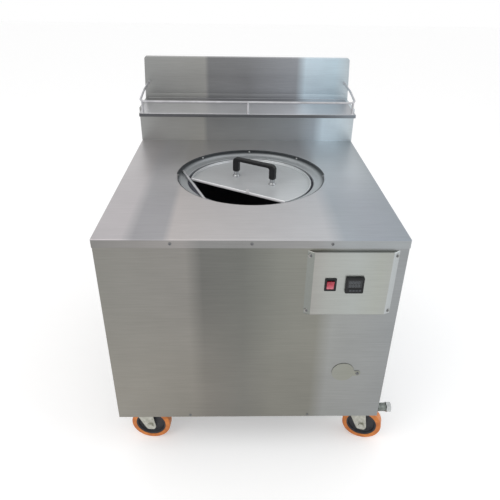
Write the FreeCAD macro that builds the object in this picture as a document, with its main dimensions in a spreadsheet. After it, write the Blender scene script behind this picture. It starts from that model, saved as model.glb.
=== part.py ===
# Gas-fired clay tandoor oven in a stainless cabinet on four swivel castors.
# Millimetres, +Z up. Design places are measured from the cabinet's centre line (x), from the front
# face of its table top (y) and from the floor (z); seat() moves them into the frame of the whole
# part, whose origin is on the floor at the middle of its outer box.
import FreeCAD, Part
import math
import os
import Sketcher
from FreeCAD import Placement, Rotation, Vector

doc = FreeCAD.newDocument("tandoor_oven")
sheet = doc.addObject("Spreadsheet::Sheet", "sizes")
nodes = {}
places = {}


class Size:
    """A length that knows its value now and the formula that keeps it live."""

    def __init__(self, value, text, live=True):
        self.value = value
        self.text = text
        self.live = live

    def __add__(self, other):
        return joined(self, "+", other, self.value + sized(other).value)

    def __radd__(self, other):
        return sized(other) + self

    def __sub__(self, other):
        return joined(self, "-", other, self.value - sized(other).value)

    def __rsub__(self, other):
        return sized(other) - self

    def __mul__(self, other):
        return joined(self, "*", other, self.value * sized(other).value)

    def __rmul__(self, other):
        return sized(other) * self

    def __truediv__(self, other):
        return joined(self, "/", other, self.value / sized(other).value)

    def __neg__(self):
        return sized(-1) * self


def sized(thing):
    if isinstance(thing, Size):
        return thing
    return Size(float(thing), "(%.9g)" % thing, live=False)


def joined(left, sign, right, value):
    right = sized(right)
    return Size(value, "(%s %s %s)" % (left.text, sign, right.text), left.live or right.live)


def half_chord(radius, offset):
    """Half the length of a circle's chord that lies offset from its centre."""
    value = math.sqrt(radius.value ** 2 - offset.value ** 2)
    return Size(value, "sqrt(%s^2 - %s^2)" % (radius.text, offset.text))


def cell(alias, value, note):
    """One driving dimension: its note, its number and its alias, on a row of the sheet."""
    row = cell.row
    cell.row += 1
    sheet.set("A%d" % row, note)
    sheet.set("B%d" % row, "%.9g" % value)
    sheet.setAlias("B%d" % row, alias)
    return Size(float(sheet.getContents("B%d" % row)), "sizes." + alias)


cell.row = 1

# ---- driving dimensions -------------------------------------------------------------------------
cabinet_width = cell("cabinet_width", 800, "table top, side to side")
cabinet_depth = cell("cabinet_depth", 955, "table top, front to rear")
cabinet_height = cell("cabinet_height", 624, "cabinet without its castors")
castor_height = cell("castor_height", 158, "floor to castor plate")
gauge = cell("gauge", 1.5, "stainless sheet")
lip_drop = cell("lip_drop", 25, "downturned edge of the table top")
fold = cell("fold", 20, "returns along the panels' edges")

mouth_x = cell("mouth_x", 6, "pot axis right of the centre line")
mouth_y = cell("mouth_y", 438, "pot axis behind the front face")
hole_radius = cell("hole_radius", 234, "hole in the table top")
ledge_drop = cell("ledge_drop", 18, "ring ledge below the table top")
ledge_radius = cell("ledge_radius", 203, "inner edge of the ring ledge")
ring_bend = cell("ring_bend", 12, "outer bend of the spun ring")
rim_drop = cell("rim_drop", 26, "clay rim below the table top")

pot_mouth = cell("pot_mouth", 176, "inner radius of the clay mouth")
pot_neck = cell("pot_neck", 213, "outer radius of the clay neck")
pot_foot = cell("pot_foot", 236, "outer radius of the pot's foot")
pot_wall = cell("pot_wall", 36, "clay wall")
pot_base = cell("pot_base", 255, "pot's foot above the floor")
pot_curve = cell("pot_curve", 760, "radius of the pot's outer bulge")
fire_hole = cell("fire_hole", 82, "fire hole in the pot's floor")

riser_front = cell("riser_front", 789, "front of the rear riser")
shelf_level = cell("shelf_level", 906, "shelf surface above the floor")
shelf_width = cell("shelf_width", 772, "shelf, side to side")
shelf_front = cell("shelf_front", 700, "shelf's front edge")
shelf_lip = cell("shelf_lip", 12, "downturned edge of the shelf")
splash_depth = cell("splash_depth", 25, "folded depth of the splash panel")
splash_top = cell("splash_top", 1059, "splash panel's top above the floor")
splash_taper = cell("splash_taper", 9, "how far each side leans in at the top")
rail_radius = cell("rail_radius", 4, "guard rod")
rail_lift = cell("rail_lift", 40, "front rail above the shelf")
guard_lift = cell("guard_lift", 61, "side guards above the shelf at the splash")

lid_radius = cell("lid_radius", 194, "round edge of the lid")
lid_flat = cell("lid_flat", 92, "straight edge from the lid's centre")
lid_rim = cell("lid_rim", 10, "upturned rim of the lid")
lid_forward = cell("lid_forward", 7, "lid's centre in front of the pot axis")
lid_turn = -31.7
handle_back = cell("handle_back", 21, "lid handle, from the lid's centre away from its straight edge")
handle_span = cell("handle_span", 135, "between the lid handle's feet")
grip_post = cell("grip_post", 20, "width of the grip's posts")
grip_bar = cell("grip_bar", 12, "height of the grip's bar")
grip_depth = cell("grip_depth", 17, "grip, across the bar")
foot_height = cell("foot_height", 18, "chrome foot of the handle")
grip_top = cell("grip_top", 65, "top of the grip above the lid")
free_gap = cell("free_gap", 0.3, "gap under pieces that lift or swing")

panel_left = cell("panel_left", 141, "control panel's left edge")
panel_width = cell("panel_width", 234.5, "control panel, side to side")
panel_low = cell("panel_low", 554, "control panel's lower edge above the floor")
panel_height = cell("panel_height", 196.5, "control panel, bottom to top")
panel_proud = cell("panel_proud", 10, "how far the control panel stands out")
panel_slope = cell("panel_slope", 17, "sloped edge at its left and right")
panel_ramp = cell("panel_ramp", 2, "sloped edge at its top and bottom")

castor_x = cell("castor_x", 347, "castor axes, each side of the centre line")
castor_y = cell("castor_y", 78, "castor axes, in from the front and rear")
castor_trail = cell("castor_trail", 31, "wheel axle behind the swivel axis")
wheel_radius = cell("wheel_radius", 62.5, "tyre")
core_radius = cell("core_radius", 48, "wheel core inside the tyre")
wheel_width = cell("wheel_width", 32, "tyre")
plate_gauge = cell("plate_gauge", 3, "castor plate and fork")
king_radius = cell("king_radius", 6, "swivel pin")
axle_radius = cell("axle_radius", 5, "wheel axle")
running_gap = cell("running_gap", 0.05, "radial play of pins and axles")

angle_leg = cell("angle_leg", 40, "legs of the angle-iron frame")
angle_gauge = cell("angle_gauge", 4, "angle iron and corner pads")
inlet_reach = cell("inlet_reach", 41, "gas union beyond the side")
inlet_y = cell("inlet_y", 20, "gas inlet behind the front face")
inlet_rise = cell("inlet_rise", 18, "gas inlet above the cabinet's bottom")
pipe_radius = cell("pipe_radius", 10.65, "half-inch gas pipe, outside")
pipe_bore = cell("pipe_bore", 8, "half-inch gas pipe, inside")
pipe_bend = cell("pipe_bend", 27, "elbows of the gas pipe")
thread_radius = cell("thread_radius", 9.3, "crests of the union nut's half-inch thread")
gland_reach = cell("gland_reach", 24, "cable gland behind the rear panel")
meter_proud = cell("meter_proud", 7, "controller bezel in front of the control panel")

deck = castor_height + cabinet_height
half_width = cabinet_width / 2
skin = half_width - gauge
inlet_z = castor_height + inlet_rise
panel_face = gauge - panel_proud
foremost = panel_face - meter_proud
rearmost = cabinet_depth - gauge + gland_reach
middle = -inlet_reach / 2
front_line = -(foremost + rearmost) / 2


# ---- helpers ------------------------------------------------------------------------------------
def bind(thing, **formulas):
    for name, size in formulas.items():
        size = sized(size)
        if size.live:
            thing.setExpression(name, size.text)
        else:
            setattr(thing, name, size.value)


def put(thing, at, turn=Rotation()):
    """Place a solid at a point of the design, bound to the sizes that give the point."""
    places[thing.Name] = (at, turn)
    at = [sized(value) for value in at]
    thing.Placement = Placement(Vector(*[value.value for value in at]), turn)
    for axis, value in zip("xyz", at):
        if value.live:
            thing.setExpression("Placement.Base." + axis, value.text)
    return thing


def seat(name, thing, at=None, turn=Rotation()):
    """Finish a sub-part: label it, move it into the part's frame and keep it for export."""
    if at is None:
        at, turn = places.get(thing.Name, ((0, 0, 0), turn))
    put(thing, (middle + at[0], front_line + at[1], sized(at[2])), turn)
    thing.Label = name
    nodes[name] = thing
    return thing


def box(name, size, at):
    solid = doc.addObject("Part::Box", name)
    bind(solid, Length=size[0], Width=size[1], Height=size[2])
    return put(solid, at)


ALONG = {
    "x": Rotation(Vector(0, 1, 0), 90),
    "y": Rotation(Vector(1, 0, 0), -90),
    "z": Rotation(),
}


def rod(name, radius, length, at, along="z"):
    solid = doc.addObject("Part::Cylinder", name)
    bind(solid, Radius=radius, Height=length)
    return put(solid, at, ALONG[along])


def fuse(name, *solids):
    whole = doc.addObject("Part::MultiFuse", name)
    whole.Shapes = list(solids)
    whole.Refine = True
    return whole


def cut(name, base, *tools):
    rest = doc.addObject("Part::Cut", name)
    rest.Base = base
    rest.Tool = tools[0] if len(tools) == 1 else fuse(name + "_cutter", *tools)
    return rest


def group(name, solids):
    """Separate like solids that share one node."""
    many = doc.addObject("Part::Compound", name)
    many.Links = solids
    return many


def arc_between(start, end, radius):
    """The short arc from start to end: it turns left when radius is positive, else right."""
    span = end - start
    lift = math.sqrt(radius ** 2 - span.Length ** 2 / 4)
    left = Vector(-span.y, span.x, 0).normalize()
    centre = (start + end) / 2 + left * math.copysign(lift, radius)
    first, last = (start, end) if radius > 0 else (end, start)
    begin = math.atan2(first.y - centre.y, first.x - centre.x)
    finish = math.atan2(last.y - centre.y, last.x - centre.x)
    if finish < begin:
        finish += 2 * math.pi
    circle = Part.Circle(centre, Vector(0, 0, 1), abs(radius))
    return Part.ArcOfCircle(circle, begin, finish), (1 if radius > 0 else 2)


def outline(body, name, plane, corners, lift=0):
    """A dimensioned sketch through corners (across, up[, radius of the arc that leaves it])."""
    sketch = body.newObject("Sketcher::SketchObject", name)
    support = [item for item in body.Origin.OriginFeatures if item.Role == plane][0]
    sketch.AttachmentSupport = (support, "")
    sketch.MapMode = "FlatFace"
    lift = sized(lift)
    sketch.AttachmentOffset = Placement(Vector(0, 0, lift.value), Rotation())
    if lift.live:
        sketch.setExpression("AttachmentOffset.Base.z", lift.text)
    corners = [[sized(value) for value in corner] for corner in corners]
    edges = []
    for index in range(len(corners)):
        here = corners[index]
        there = corners[(index + 1) % len(corners)]
        start = Vector(here[0].value, here[1].value, 0)
        end = Vector(there[0].value, there[1].value, 0)
        if len(here) == 3:
            shape, first = arc_between(start, end, here[2].value)
        else:
            shape, first = Part.LineSegment(start, end), 1
        edges.append((sketch.addGeometry(shape, False), first))
    rules = []
    formulas = []

    def rule(kind, places, size=None):
        numbers = () if size is None else (size.value,)
        rules.append(Sketcher.Constraint(kind, *(tuple(places) + numbers)))
        formulas.append(size)

    for index, (edge, first) in enumerate(edges):
        across, up = corners[index][:2]
        before, before_first = edges[index - 1]
        rule("Coincident", (before, 3 - before_first, edge, first))
        rule("DistanceX", (-1, 1, edge, first), across)
        rule("DistanceY", (-1, 1, edge, first), up)
        if len(corners[index]) == 3:
            reach = corners[index][2]
            rule("Radius", (edge,), reach if reach.value > 0 else -reach)
    sketch.addConstraint(rules)
    for index, size in enumerate(formulas):
        if size is not None and size.live:
            sketch.setExpression("Constraints[%d]" % index, size.text)
    return sketch


def new_body(name):
    return doc.addObject("PartDesign::Body", name)


def drawn(body, kind, name, plane, corners, length, backwards, lift):
    """A pad or pocket of an outline on one of the body's planes."""
    sketch = outline(body, name + "_outline", plane, corners, lift)
    feature = body.newObject("PartDesign::" + kind, name + "_" + kind.lower())
    feature.Profile = sketch
    bind(feature, Length=length)
    feature.Reversed = backwards
    return feature


def padded(name, plane, corners, length, backwards=False, lift=0):
    body = new_body(name)
    drawn(body, "Pad", name, plane, corners, length, backwards, lift)
    return body


def pocketed(body, name, plane, corners, length, backwards=False, lift=0):
    drawn(body, "Pocket", name, plane, corners, length, backwards, lift)


def turned(name, corners):
    """A profile (radius, height) turned about the body's own Z axis."""
    body = new_body(name)
    sketch = outline(body, name + "_profile", "XZ_Plane", corners)
    turn = body.newObject("PartDesign::Revolution", name + "_turn")
    turn.Profile = sketch
    turn.ReferenceAxis = (sketch, ["V_Axis"])
    turn.Angle = 360
    return body


def hexagon(name, across_flats, length, at, along="z"):
    """A hexagon prism that stands on the point and runs along an axis."""
    side = doc.addObject("Part::Prism", name)
    side.Polygon = 6
    bind(side, Circumradius=sized(across_flats) / math.sqrt(3), Height=length)
    return put(side, at, ALONG[along])


def bent_path(points, bends):
    """Straight runs joined by tangent arcs, one bend radius for each inner point."""
    pieces = []
    start = points[0]
    for before, corner, after, bend in zip(points, points[1:], points[2:], bends):
        arrive = (corner - before).normalize()
        leave = (after - corner).normalize()
        turn = arrive.getAngle(leave)
        reach = bend * math.tan(turn / 2)
        arc_start = corner - arrive * reach
        arc_end = corner + leave * reach
        middle_way = (leave - arrive).normalize()
        arc_top = corner + middle_way * (bend / math.cos(turn / 2) - bend)
        pieces.append(Part.LineSegment(start, arc_start).toShape())
        pieces.append(Part.Arc(arc_start, arc_top, arc_end).toShape())
        start = arc_end
    pieces.append(Part.LineSegment(start, points[-1]).toShape())
    return Part.Wire(pieces)


def swept(path, radius):
    """A round bar along a path."""
    start = path.Edges[0].valueAt(path.Edges[0].FirstParameter)
    ahead = path.Edges[0].tangentAt(path.Edges[0].FirstParameter)
    section = Part.Wire([Part.Circle(start, ahead, radius).toShape()])
    return path.makePipeShell([section], True, False)


def made(name, shape):
    feature = doc.addObject("Part::Feature", name)
    feature.Shape = shape
    return feature


# ---- frame and floor ----------------------------------------------------------------------------
CASTORS = {
    "front_left": (-1, 0, -5.0),
    "front_right": (1, 0, -18.0),
    "rear_left": (-1, 1, 11.0),
    "rear_right": (1, 1, -7.0),
}
plate_length = 100
plate_width = 85
bolt_x = 38
bolt_y = 30
bolt_radius = 4


def castor_place(side, rear):
    across = castor_x * side
    back = (cabinet_depth - castor_y) if rear else castor_y
    return across, back


def castor_holes(name, low, height):
    """Drills for the four bolts of every castor plate."""
    drills = []
    for side, rear, _ in CASTORS.values():
        across, back = castor_place(side, rear)
        for step_x in (-bolt_x, bolt_x):
            for step_y in (-bolt_y, bolt_y):
                drills.append(rod(name, bolt_radius, height, (across + step_x, back + step_y, low)))
    return drills


frame_side = skin - gauge
frame_front = gauge * 2
frame_depth = cabinet_depth - gauge * 4
angle = box("angle_blank", (frame_side * 2, frame_depth, angle_leg), (-frame_side, frame_front, castor_height))
angle_inside = box(
    "angle_inside",
    (frame_side * 2 - angle_gauge * 2, frame_depth - angle_gauge * 2, angle_leg),
    (-frame_side + angle_gauge, frame_front + angle_gauge, castor_height + angle_gauge),
)
angle_window = box(
    "angle_window",
    (frame_side * 2 - angle_leg * 2, frame_depth - angle_leg * 2, angle_leg),
    (-frame_side + angle_leg, frame_front + angle_leg, castor_height - angle_gauge),
)
frame_ring = cut("frame_ring", angle, angle_inside, angle_window)
pad_size = 132


def corner_boxes(name, height, low):
    """A square box inside each corner of the frame."""
    corners = []
    for side, rear, _ in CASTORS.values():
        pad_x = frame_side - pad_size if side > 0 else -frame_side
        pad_y = frame_front + frame_depth - pad_size if rear else frame_front
        corners.append(box(name, (pad_size, pad_size, height), (pad_x, pad_y, low)))
    return corners


pads = corner_boxes("corner_pad", angle_gauge, castor_height)
bars = []
for bar_x in (-170, 130):
    bars.append(box("cross_bar", (40, frame_depth, angle_gauge), (bar_x, frame_front, castor_height)))
frame_whole = fuse("frame_whole", frame_ring, *(pads + bars))
inlet_drill = rod("inlet_drill", pipe_radius, 60, (half_width - 50, inlet_y, inlet_z), "x")
seat(
    "base_frame",
    cut("base_frame", frame_whole, inlet_drill, *castor_holes("frame_hole", castor_height - 1, 10)),
)

floor_z = castor_height + angle_gauge
air_radius = 105
floor_blank = box(
    "floor_blank",
    (frame_side * 2 - angle_gauge * 2, frame_depth - angle_gauge * 2, gauge),
    (-frame_side + angle_gauge, frame_front + angle_gauge, floor_z),
)
air_hole = rod("air_hole", air_radius, 10, (mouth_x, mouth_y, floor_z - 5))
seat(
    "floor_plate",
    cut("floor_plate", floor_blank, air_hole, *castor_holes("floor_hole", floor_z - 1, 10)),
)
inner_floor = floor_z + gauge


# ---- cabinet panels -----------------------------------------------------------------------------
seam_top = deck - gauge
panel_rise = seam_top - castor_height


def tray(name, size, at, open_sides):
    """A folded sheet: a box with its inside taken out towards the open sides."""
    outer = box(name + "_blank", size, at)
    inner_size = []
    inner_at = []
    for axis, (length, start) in enumerate(zip(size, at)):
        low_wall = 0 if "-" + "xyz"[axis] in open_sides else gauge
        high_wall = 0 if "+" + "xyz"[axis] in open_sides else gauge
        inner_size.append(sized(length) - low_wall - high_wall)
        inner_at.append(sized(start) + low_wall)
    return outer, box(name + "_inside", inner_size, inner_at)


peep_x = 272
peep_z = castor_height + 183
peep_hole = 27
pivot_x = 315
pivot_z = castor_height + 178
pivot_radius = 2.5
ear_radius = 9

switch_x = 205
switch_z = castor_height + 496
switch_cut = (28.6, 34)
meter_x = 267.5
meter_z = castor_height + 496
meter_cut = (45, 45)


def window(name, centre_x, centre_z, size, start, depth):
    """A square cutter for a device that goes through a sheet."""
    return box(name, (size[0], depth, size[1]), (centre_x - size[0] / 2, start, centre_z - size[1] / 2))


service_margin = 16
service_hole = box(
    "service_hole",
    (panel_width - service_margin * 2, gauge * 3, panel_height - service_margin * 2),
    (panel_left + service_margin, 0, panel_low + service_margin),
)
front_outer, front_inside = tray(
    "front", (skin * 2, fold, panel_rise), (-skin, gauge, castor_height), ("+y", "+z", "-z")
)
peep_cutter = rod("peep_cutter", peep_hole, 12, (peep_x, -4, peep_z), "y")
pivot_cutter = rod("pivot_cutter", pivot_radius, 6, (pivot_x, -1, pivot_z), "y")
fold_drill = rod("fold_drill", pipe_radius, 20, (skin - 10, inlet_y, inlet_z), "x")
seat(
    "front_panel",
    cut("front_panel", front_outer, front_inside, service_hole, peep_cutter, pivot_cutter, fold_drill),
)

side_length = cabinet_depth - gauge * 2 - fold * 2
for side_name, low_x in (("left", -skin), ("right", skin - gauge)):
    name = side_name + "_side_panel"
    sheet_side = box(name + "_sheet", (gauge, side_length, panel_rise), (low_x, gauge + fold, castor_height))
    pipe_hole = rod(name + "_hole", pipe_radius, 20, (low_x - 5, inlet_y, inlet_z), "x")
    seat(name, cut(name, sheet_side, pipe_hole) if side_name == "right" else sheet_side)

rear_y = cabinet_depth - gauge
gland_x = -290
gland_z = castor_height + 70
gland_hole = 8
rear_outer, rear_inside = tray(
    "rear", (skin * 2, fold, panel_rise), (-skin, rear_y - fold, castor_height), ("-y", "+z", "-z")
)
slots = [rod("gland_cutter", gland_hole, 12, (gland_x, rear_y - 6, gland_z), "y")]
slot_width = 150
slot_height = 8
for column in (-250, -75, 100):
    for row in range(5):
        slot_z = castor_height + 430 + row * 26
        slots.append(box("vent_slot", (slot_width, 8, slot_height), (column, rear_y - 4, slot_z)))
seat("rear_panel", cut("rear_panel", rear_outer, rear_inside, *slots))

# ---- table top and spun mouth ring --------------------------------------------------------------
top_blank = box("top_blank", (cabinet_width, cabinet_depth, lip_drop), (-half_width, 0, deck - lip_drop))
top_inside = box(
    "top_inside",
    (cabinet_width - gauge * 2, cabinet_depth - gauge * 2, lip_drop),
    (-half_width + gauge, gauge, deck - gauge - lip_drop),
)
top_shell = cut("top_shell", top_blank, top_inside)
collar_drop = 14
hole_collar = rod("hole_collar", hole_radius + gauge, collar_drop, (mouth_x, mouth_y, deck - collar_drop))
top_hole = rod("top_hole", hole_radius, lip_drop * 2, (mouth_x, mouth_y, deck - lip_drop))
seat("table_top", cut("table_top", fuse("top_with_collar", top_shell, hole_collar), top_hole))

ledge_level = -ledge_drop
bend_centre = ledge_level - gauge + ring_bend
# Behind the bend the sheet is drawn as one flat, which touches the true arc from outside.
bend_flat = ring_bend * math.tan(math.radians(22.5))
mouth_ring = turned(
    "mouth_ring",
    [
        (hole_radius, 0),
        (hole_radius, bend_centre - bend_flat),
        (hole_radius - ring_bend + bend_flat, ledge_level - gauge),
        (ledge_radius + gauge, ledge_level - gauge),
        (ledge_radius + gauge, -rim_drop),
        (ledge_radius, -rim_drop),
        (ledge_radius, ledge_level),
        (hole_radius - ring_bend, ledge_level, ring_bend - gauge),
        (hole_radius - gauge, bend_centre),
        (hole_radius - gauge, 0),
    ],
)
seat("mouth_ring", mouth_ring, (mouth_x, mouth_y, deck))

# ---- clay pot, its bricks and the fill round it -------------------------------------------------
rim_z = deck - rim_drop
pot_height = rim_z - pot_base
neck_drop = 34
neck_z = pot_height - neck_drop
neck_flare = 10
neck_length = 40
neck_bend = 120
rim_bevel = 12
belly_top = 50
belly_inset = 8
floor_thick = 30
floor_cove = 26
cove_rise = 16
cove_bend = 40
inner_foot = pot_foot - pot_wall


def pot_outside(name):
    """The pot's outer form, from its foot up to its flat rim."""
    return turned(
        name,
        [
            (0, 0),
            (pot_foot, 0, pot_curve),
            (pot_neck + neck_flare, neck_z - neck_length, neck_bend),
            (pot_neck, neck_z),
            (pot_neck, pot_height),
            (0, pot_height),
        ],
    )


pot_body = turned(
    "clay_pot_body",
    [
        (fire_hole, 0),
        (pot_foot, 0, pot_curve),
        (pot_neck + neck_flare, neck_z - neck_length, neck_bend),
        (pot_neck, neck_z),
        (pot_neck, pot_height),
        (pot_mouth + rim_bevel, pot_height),
        (pot_mouth, pot_height - rim_bevel),
        (pot_mouth, neck_z),
        (pot_neck - pot_wall + belly_inset, neck_z - belly_top, -pot_curve),
        (inner_foot, floor_thick + cove_rise, -cove_bend),
        (inner_foot - floor_cove, floor_thick),
        (fire_hole, floor_thick),
    ],
)
put(pot_body, (mouth_x, mouth_y, pot_base))

sight_angle = math.degrees(math.atan2(peep_x - mouth_x.value, mouth_y.value))
sight_turn = Rotation(Vector(0, 0, 1), sight_angle) * Rotation(Vector(1, 0, 0), -90)
sight_length = 300
probe_angle = -38
probe_z = 500
probe_radius = 4
probe_head = 12
probe_start = 216
probe_neck = 300
probe_end = 326
probe_turn = Rotation(Vector(0, 0, 1), probe_angle) * Rotation(Vector(0, 1, 0), 90)


def sight_rod(name, radius):
    solid = doc.addObject("Part::Cylinder", name)
    bind(solid, Radius=radius, Height=sight_length)
    return put(solid, (peep_x, 0, peep_z), sight_turn)


def probe(name):
    """A thermocouple that points at the pot's axis: a thin sheath with a terminal head."""
    body = turned(
        name,
        [
            (0, probe_start),
            (probe_radius, probe_start),
            (probe_radius, probe_neck),
            (probe_head, probe_neck),
            (probe_head, probe_end),
            (0, probe_end),
        ],
    )
    return body


clay_pot = cut(
    "clay_pot",
    pot_body,
    sight_rod("pot_sight_hole", peep_hole),
    put(probe("pot_probe_hole"), (mouth_x, mouth_y, probe_z), probe_turn),
)
seat("clay_pot", clay_pot)
seat("thermocouple", probe("thermocouple"), (mouth_x, mouth_y, probe_z), probe_turn)

brick_radius = 250
brick_bore = 130
pipe_channel = 40
bricks_blank = rod("bricks_blank", brick_radius, pot_base - inner_floor, (mouth_x, mouth_y, inner_floor))
bricks_bore = rod("bricks_bore", brick_bore, 200, (mouth_x, mouth_y, inner_floor - 10))
bricks_channel = box(
    "bricks_channel", (brick_radius + 20, pipe_channel, pipe_channel),
    (mouth_x, mouth_y - pipe_channel / 2, inner_floor),
)
seat("hearth_bricks", cut("hearth_bricks", bricks_blank, bricks_bore, bricks_channel))

tube_wall = 1.5
tube_shell = cut(
    "tube_shell",
    sight_rod("tube_outside", peep_hole + tube_wall),
    sight_rod("tube_inside", peep_hole),
)
tube_front = box("tube_front", (120, 60, 120), (peep_x - 60, -57, peep_z - 60))
tube_pot = put(pot_outside("tube_pot"), (mouth_x, mouth_y, pot_base))
seat("sight_tube", cut("sight_tube", tube_shell, tube_front, tube_pot))

# ---- gas train ----------------------------------------------------------------------------------
pipe_x = 350
valve_low = 150
valve_size = (46, 62, 40)
valve_foot = inlet_z - pipe_radius - 1
coil_radius = 17
coil_height = 38
burner_entry = 30
valve_high = valve_low + valve_size[1]


def gas_line(name, points, radius):
    """A round bar along straight runs and elbows; places come from the sheet."""
    path = bent_path(points, [pipe_bend.value] * (len(points) - 2))
    return made(name, swept(path, radius.value))


nut_length = 15
nut_flats = 30
nipple_out = inlet_reach - nut_length
nut_overlap = 5
inlet_end = half_width.value + nipple_out.value + nut_overlap
inlet_points = [
    Vector(inlet_end, inlet_y.value, inlet_z.value),
    Vector(pipe_x, inlet_y.value, inlet_z.value),
    Vector(pipe_x, valve_low, inlet_z.value),
]
supply_points = [
    Vector(pipe_x, valve_high, inlet_z.value),
    Vector(pipe_x, mouth_y.value, inlet_z.value),
    Vector(mouth_x.value + burner_entry, mouth_y.value, inlet_z.value),
]
# Outside the cabinet a socket is screwed on the pipe, and the union's nut follows it.
socket_radius = 13.4
inlet_socket = rod(
    "inlet_socket", socket_radius, nipple_out - 2, (half_width + 1, inlet_y, inlet_z), "x"
)
for name, points in (("gas_inlet_pipe", inlet_points), ("burner_pipe", supply_points)):
    solid = gas_line(name + "_solid", points, pipe_radius)
    if name == "gas_inlet_pipe":
        solid = fuse("inlet_with_socket", solid, inlet_socket)
    bore = gas_line(name + "_bore", points, pipe_bore)
    seat(name, cut(name, solid, bore))

nut_blank = hexagon("nut_blank", nut_flats, nut_length, (half_width + nipple_out, inlet_y, inlet_z), "x")
nut_seat = rod(
    "nut_seat", pipe_radius, nut_overlap * 2, (half_width + nipple_out - nut_overlap, inlet_y, inlet_z), "x"
)
nut_mouth = rod("nut_mouth", thread_radius, nut_length * 2, (half_width + nipple_out, inlet_y, inlet_z), "x")
seat("inlet_union_nut", cut("inlet_union_nut", nut_blank, nut_seat, nut_mouth))

valve_block = box("valve_block", valve_size, (pipe_x - valve_size[0] / 2, valve_low, valve_foot))
valve_coil = rod(
    "valve_coil", coil_radius, coil_height,
    (pipe_x, valve_low + valve_size[1] / 2, valve_foot + valve_size[2]),
)
seat("gas_valve", fuse("gas_valve", valve_block, valve_coil))

burner_top = 262
burner_foot = inner_floor + 1
socket_height = 25
stem_radius = 20
bowl_radius = 62
cap_radius = 50
burner = turned(
    "burner",
    [
        (0, burner_foot),
        (burner_entry, burner_foot),
        (burner_entry, burner_foot + socket_height),
        (stem_radius, burner_foot + socket_height + 10),
        (stem_radius, burner_top - 40),
        (bowl_radius - 4, burner_top - 30),
        (bowl_radius, burner_top - 12),
        (cap_radius, burner_top - 12),
        (cap_radius, burner_top - 6),
        (cap_radius - 6, burner_top),
        (0, burner_top),
    ],
)
seat("burner", burner, (mouth_x, mouth_y, 0))
spark_x = mouth_x - bowl_radius - 8
arm_size = (56, 12, 3)
ceramic_radius = 4.5
ceramic_length = 60
tip_radius = 1.2
tip_length = 12
tip_start = burner_top - 2
arm = box("electrode_arm", arm_size, (spark_x - arm_size[1] / 2, mouth_y - arm_size[1] / 2, burner_top - 50))
ceramic = rod("electrode_ceramic", ceramic_radius, ceramic_length, (spark_x, mouth_y, tip_start - ceramic_length))
spark_tip = rod("electrode_tip", tip_radius, tip_length, (spark_x, mouth_y, tip_start))
electrode_whole = fuse("electrode_whole", arm, ceramic, spark_tip)
burner_stem = rod("burner_stem", stem_radius, ceramic_length, (mouth_x, mouth_y, burner_top - 70))
seat("spark_electrode", cut("spark_electrode", electrode_whole, burner_stem))

# ---- insulation ---------------------------------------------------------------------------------
fill_side = 392
fill_front = 9
fill_top = deck - 30
fill_blank = box(
    "fill_blank",
    (fill_side * 2, cabinet_depth - fill_front * 2, fill_top - inner_floor),
    (-fill_side, fill_front, inner_floor),
)
bay_depth = 96
fill_bay = box(
    "fill_bay",
    (panel_width + 4, bay_depth + 4, panel_height + 6),
    (panel_left - 2, 0, panel_low - 10),
)
fill_chamber = rod("fill_chamber", brick_radius, pot_base - inner_floor, (mouth_x, mouth_y, inner_floor))
fill_duct = box("fill_duct", (160, mouth_y + 30, 90), (pipe_x - 118, 0, inner_floor))
nut_room = 12
fill_corners = corner_boxes("fill_corner", nut_room, inner_floor)
fill_pot = put(pot_outside("fill_pot"), (mouth_x, mouth_y, pot_base))
fill_probe = put(probe("fill_probe"), (mouth_x, mouth_y, probe_z), probe_turn)
seat(
    "insulation_fill",
    cut(
        "insulation_fill", fill_blank, fill_bay, fill_chamber, fill_duct, fill_pot, fill_probe,
        sight_rod("fill_sight", peep_hole + tube_wall), *fill_corners,
    ),
)

# ---- electrics ----------------------------------------------------------------------------------
bay_outer, bay_inside = tray(
    "bay",
    (panel_width - service_margin * 2, bay_depth, panel_height - service_margin * 2),
    (panel_left + service_margin, gauge * 2, panel_low + service_margin),
    ("-y",),
)
seat("electrics_box", cut("electrics_box", bay_outer, bay_inside))


def sloped(name, inset, proud):
    """A low frustum that stands out of the front panel, for the raised control panel."""
    solid = doc.addObject("Part::Wedge", name)
    bind(
        solid,
        Xmin=inset, Zmin=inset, Xmax=panel_width - inset, Zmax=panel_height - inset,
        Ymin=0, Ymax=proud,
        X2min=panel_slope + inset / 2, Z2min=panel_ramp + inset / 2,
        X2max=panel_width - panel_slope - inset / 2, Z2max=panel_height - panel_ramp - inset / 2,
    )
    return solid


# The frustum narrows along its own Y, so it is turned half round to stand out towards -Y.
about_z = Rotation(Vector(0, 0, 1), 180)
panel_right = panel_left + panel_width
panel_outer = put(sloped("panel_outer", sized(0), panel_proud), (panel_right, gauge, panel_low), about_z)
panel_inner = put(
    sloped("panel_inner", gauge * 2, panel_proud - gauge), (panel_right, gauge, panel_low), about_z
)
# Each corner is pressed back to a small round land, so that its screw head sits flat on the slope.
land_radius = 6.5
land_face = -3.2
land_inset = 8
land_rise = 13
lands = []
land_presses = []
panel_screws = []
for screw_x in (panel_left + land_inset, panel_right - land_inset):
    for screw_z in (panel_low + land_rise, panel_low + panel_height - land_rise):
        lands.append(rod("panel_land", land_radius, gauge - land_face, (screw_x, land_face, screw_z), "y"))
        land_presses.append(rod("land_press", land_radius, 10, (screw_x, land_face - 10, screw_z), "y"))
        panel_screws.append((screw_x, land_face, screw_z))
panel_shell = cut("panel_shell", panel_outer, panel_inner)
seat(
    "control_panel",
    cut(
        "control_panel", fuse("panel_with_lands", panel_shell, *lands), *land_presses,
        window("switch_cutter", switch_x, switch_z, switch_cut, panel_face - 5, 10),
        window("meter_cutter", meter_x, meter_z, meter_cut, panel_face - 5, 10),
    ),
)

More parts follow.
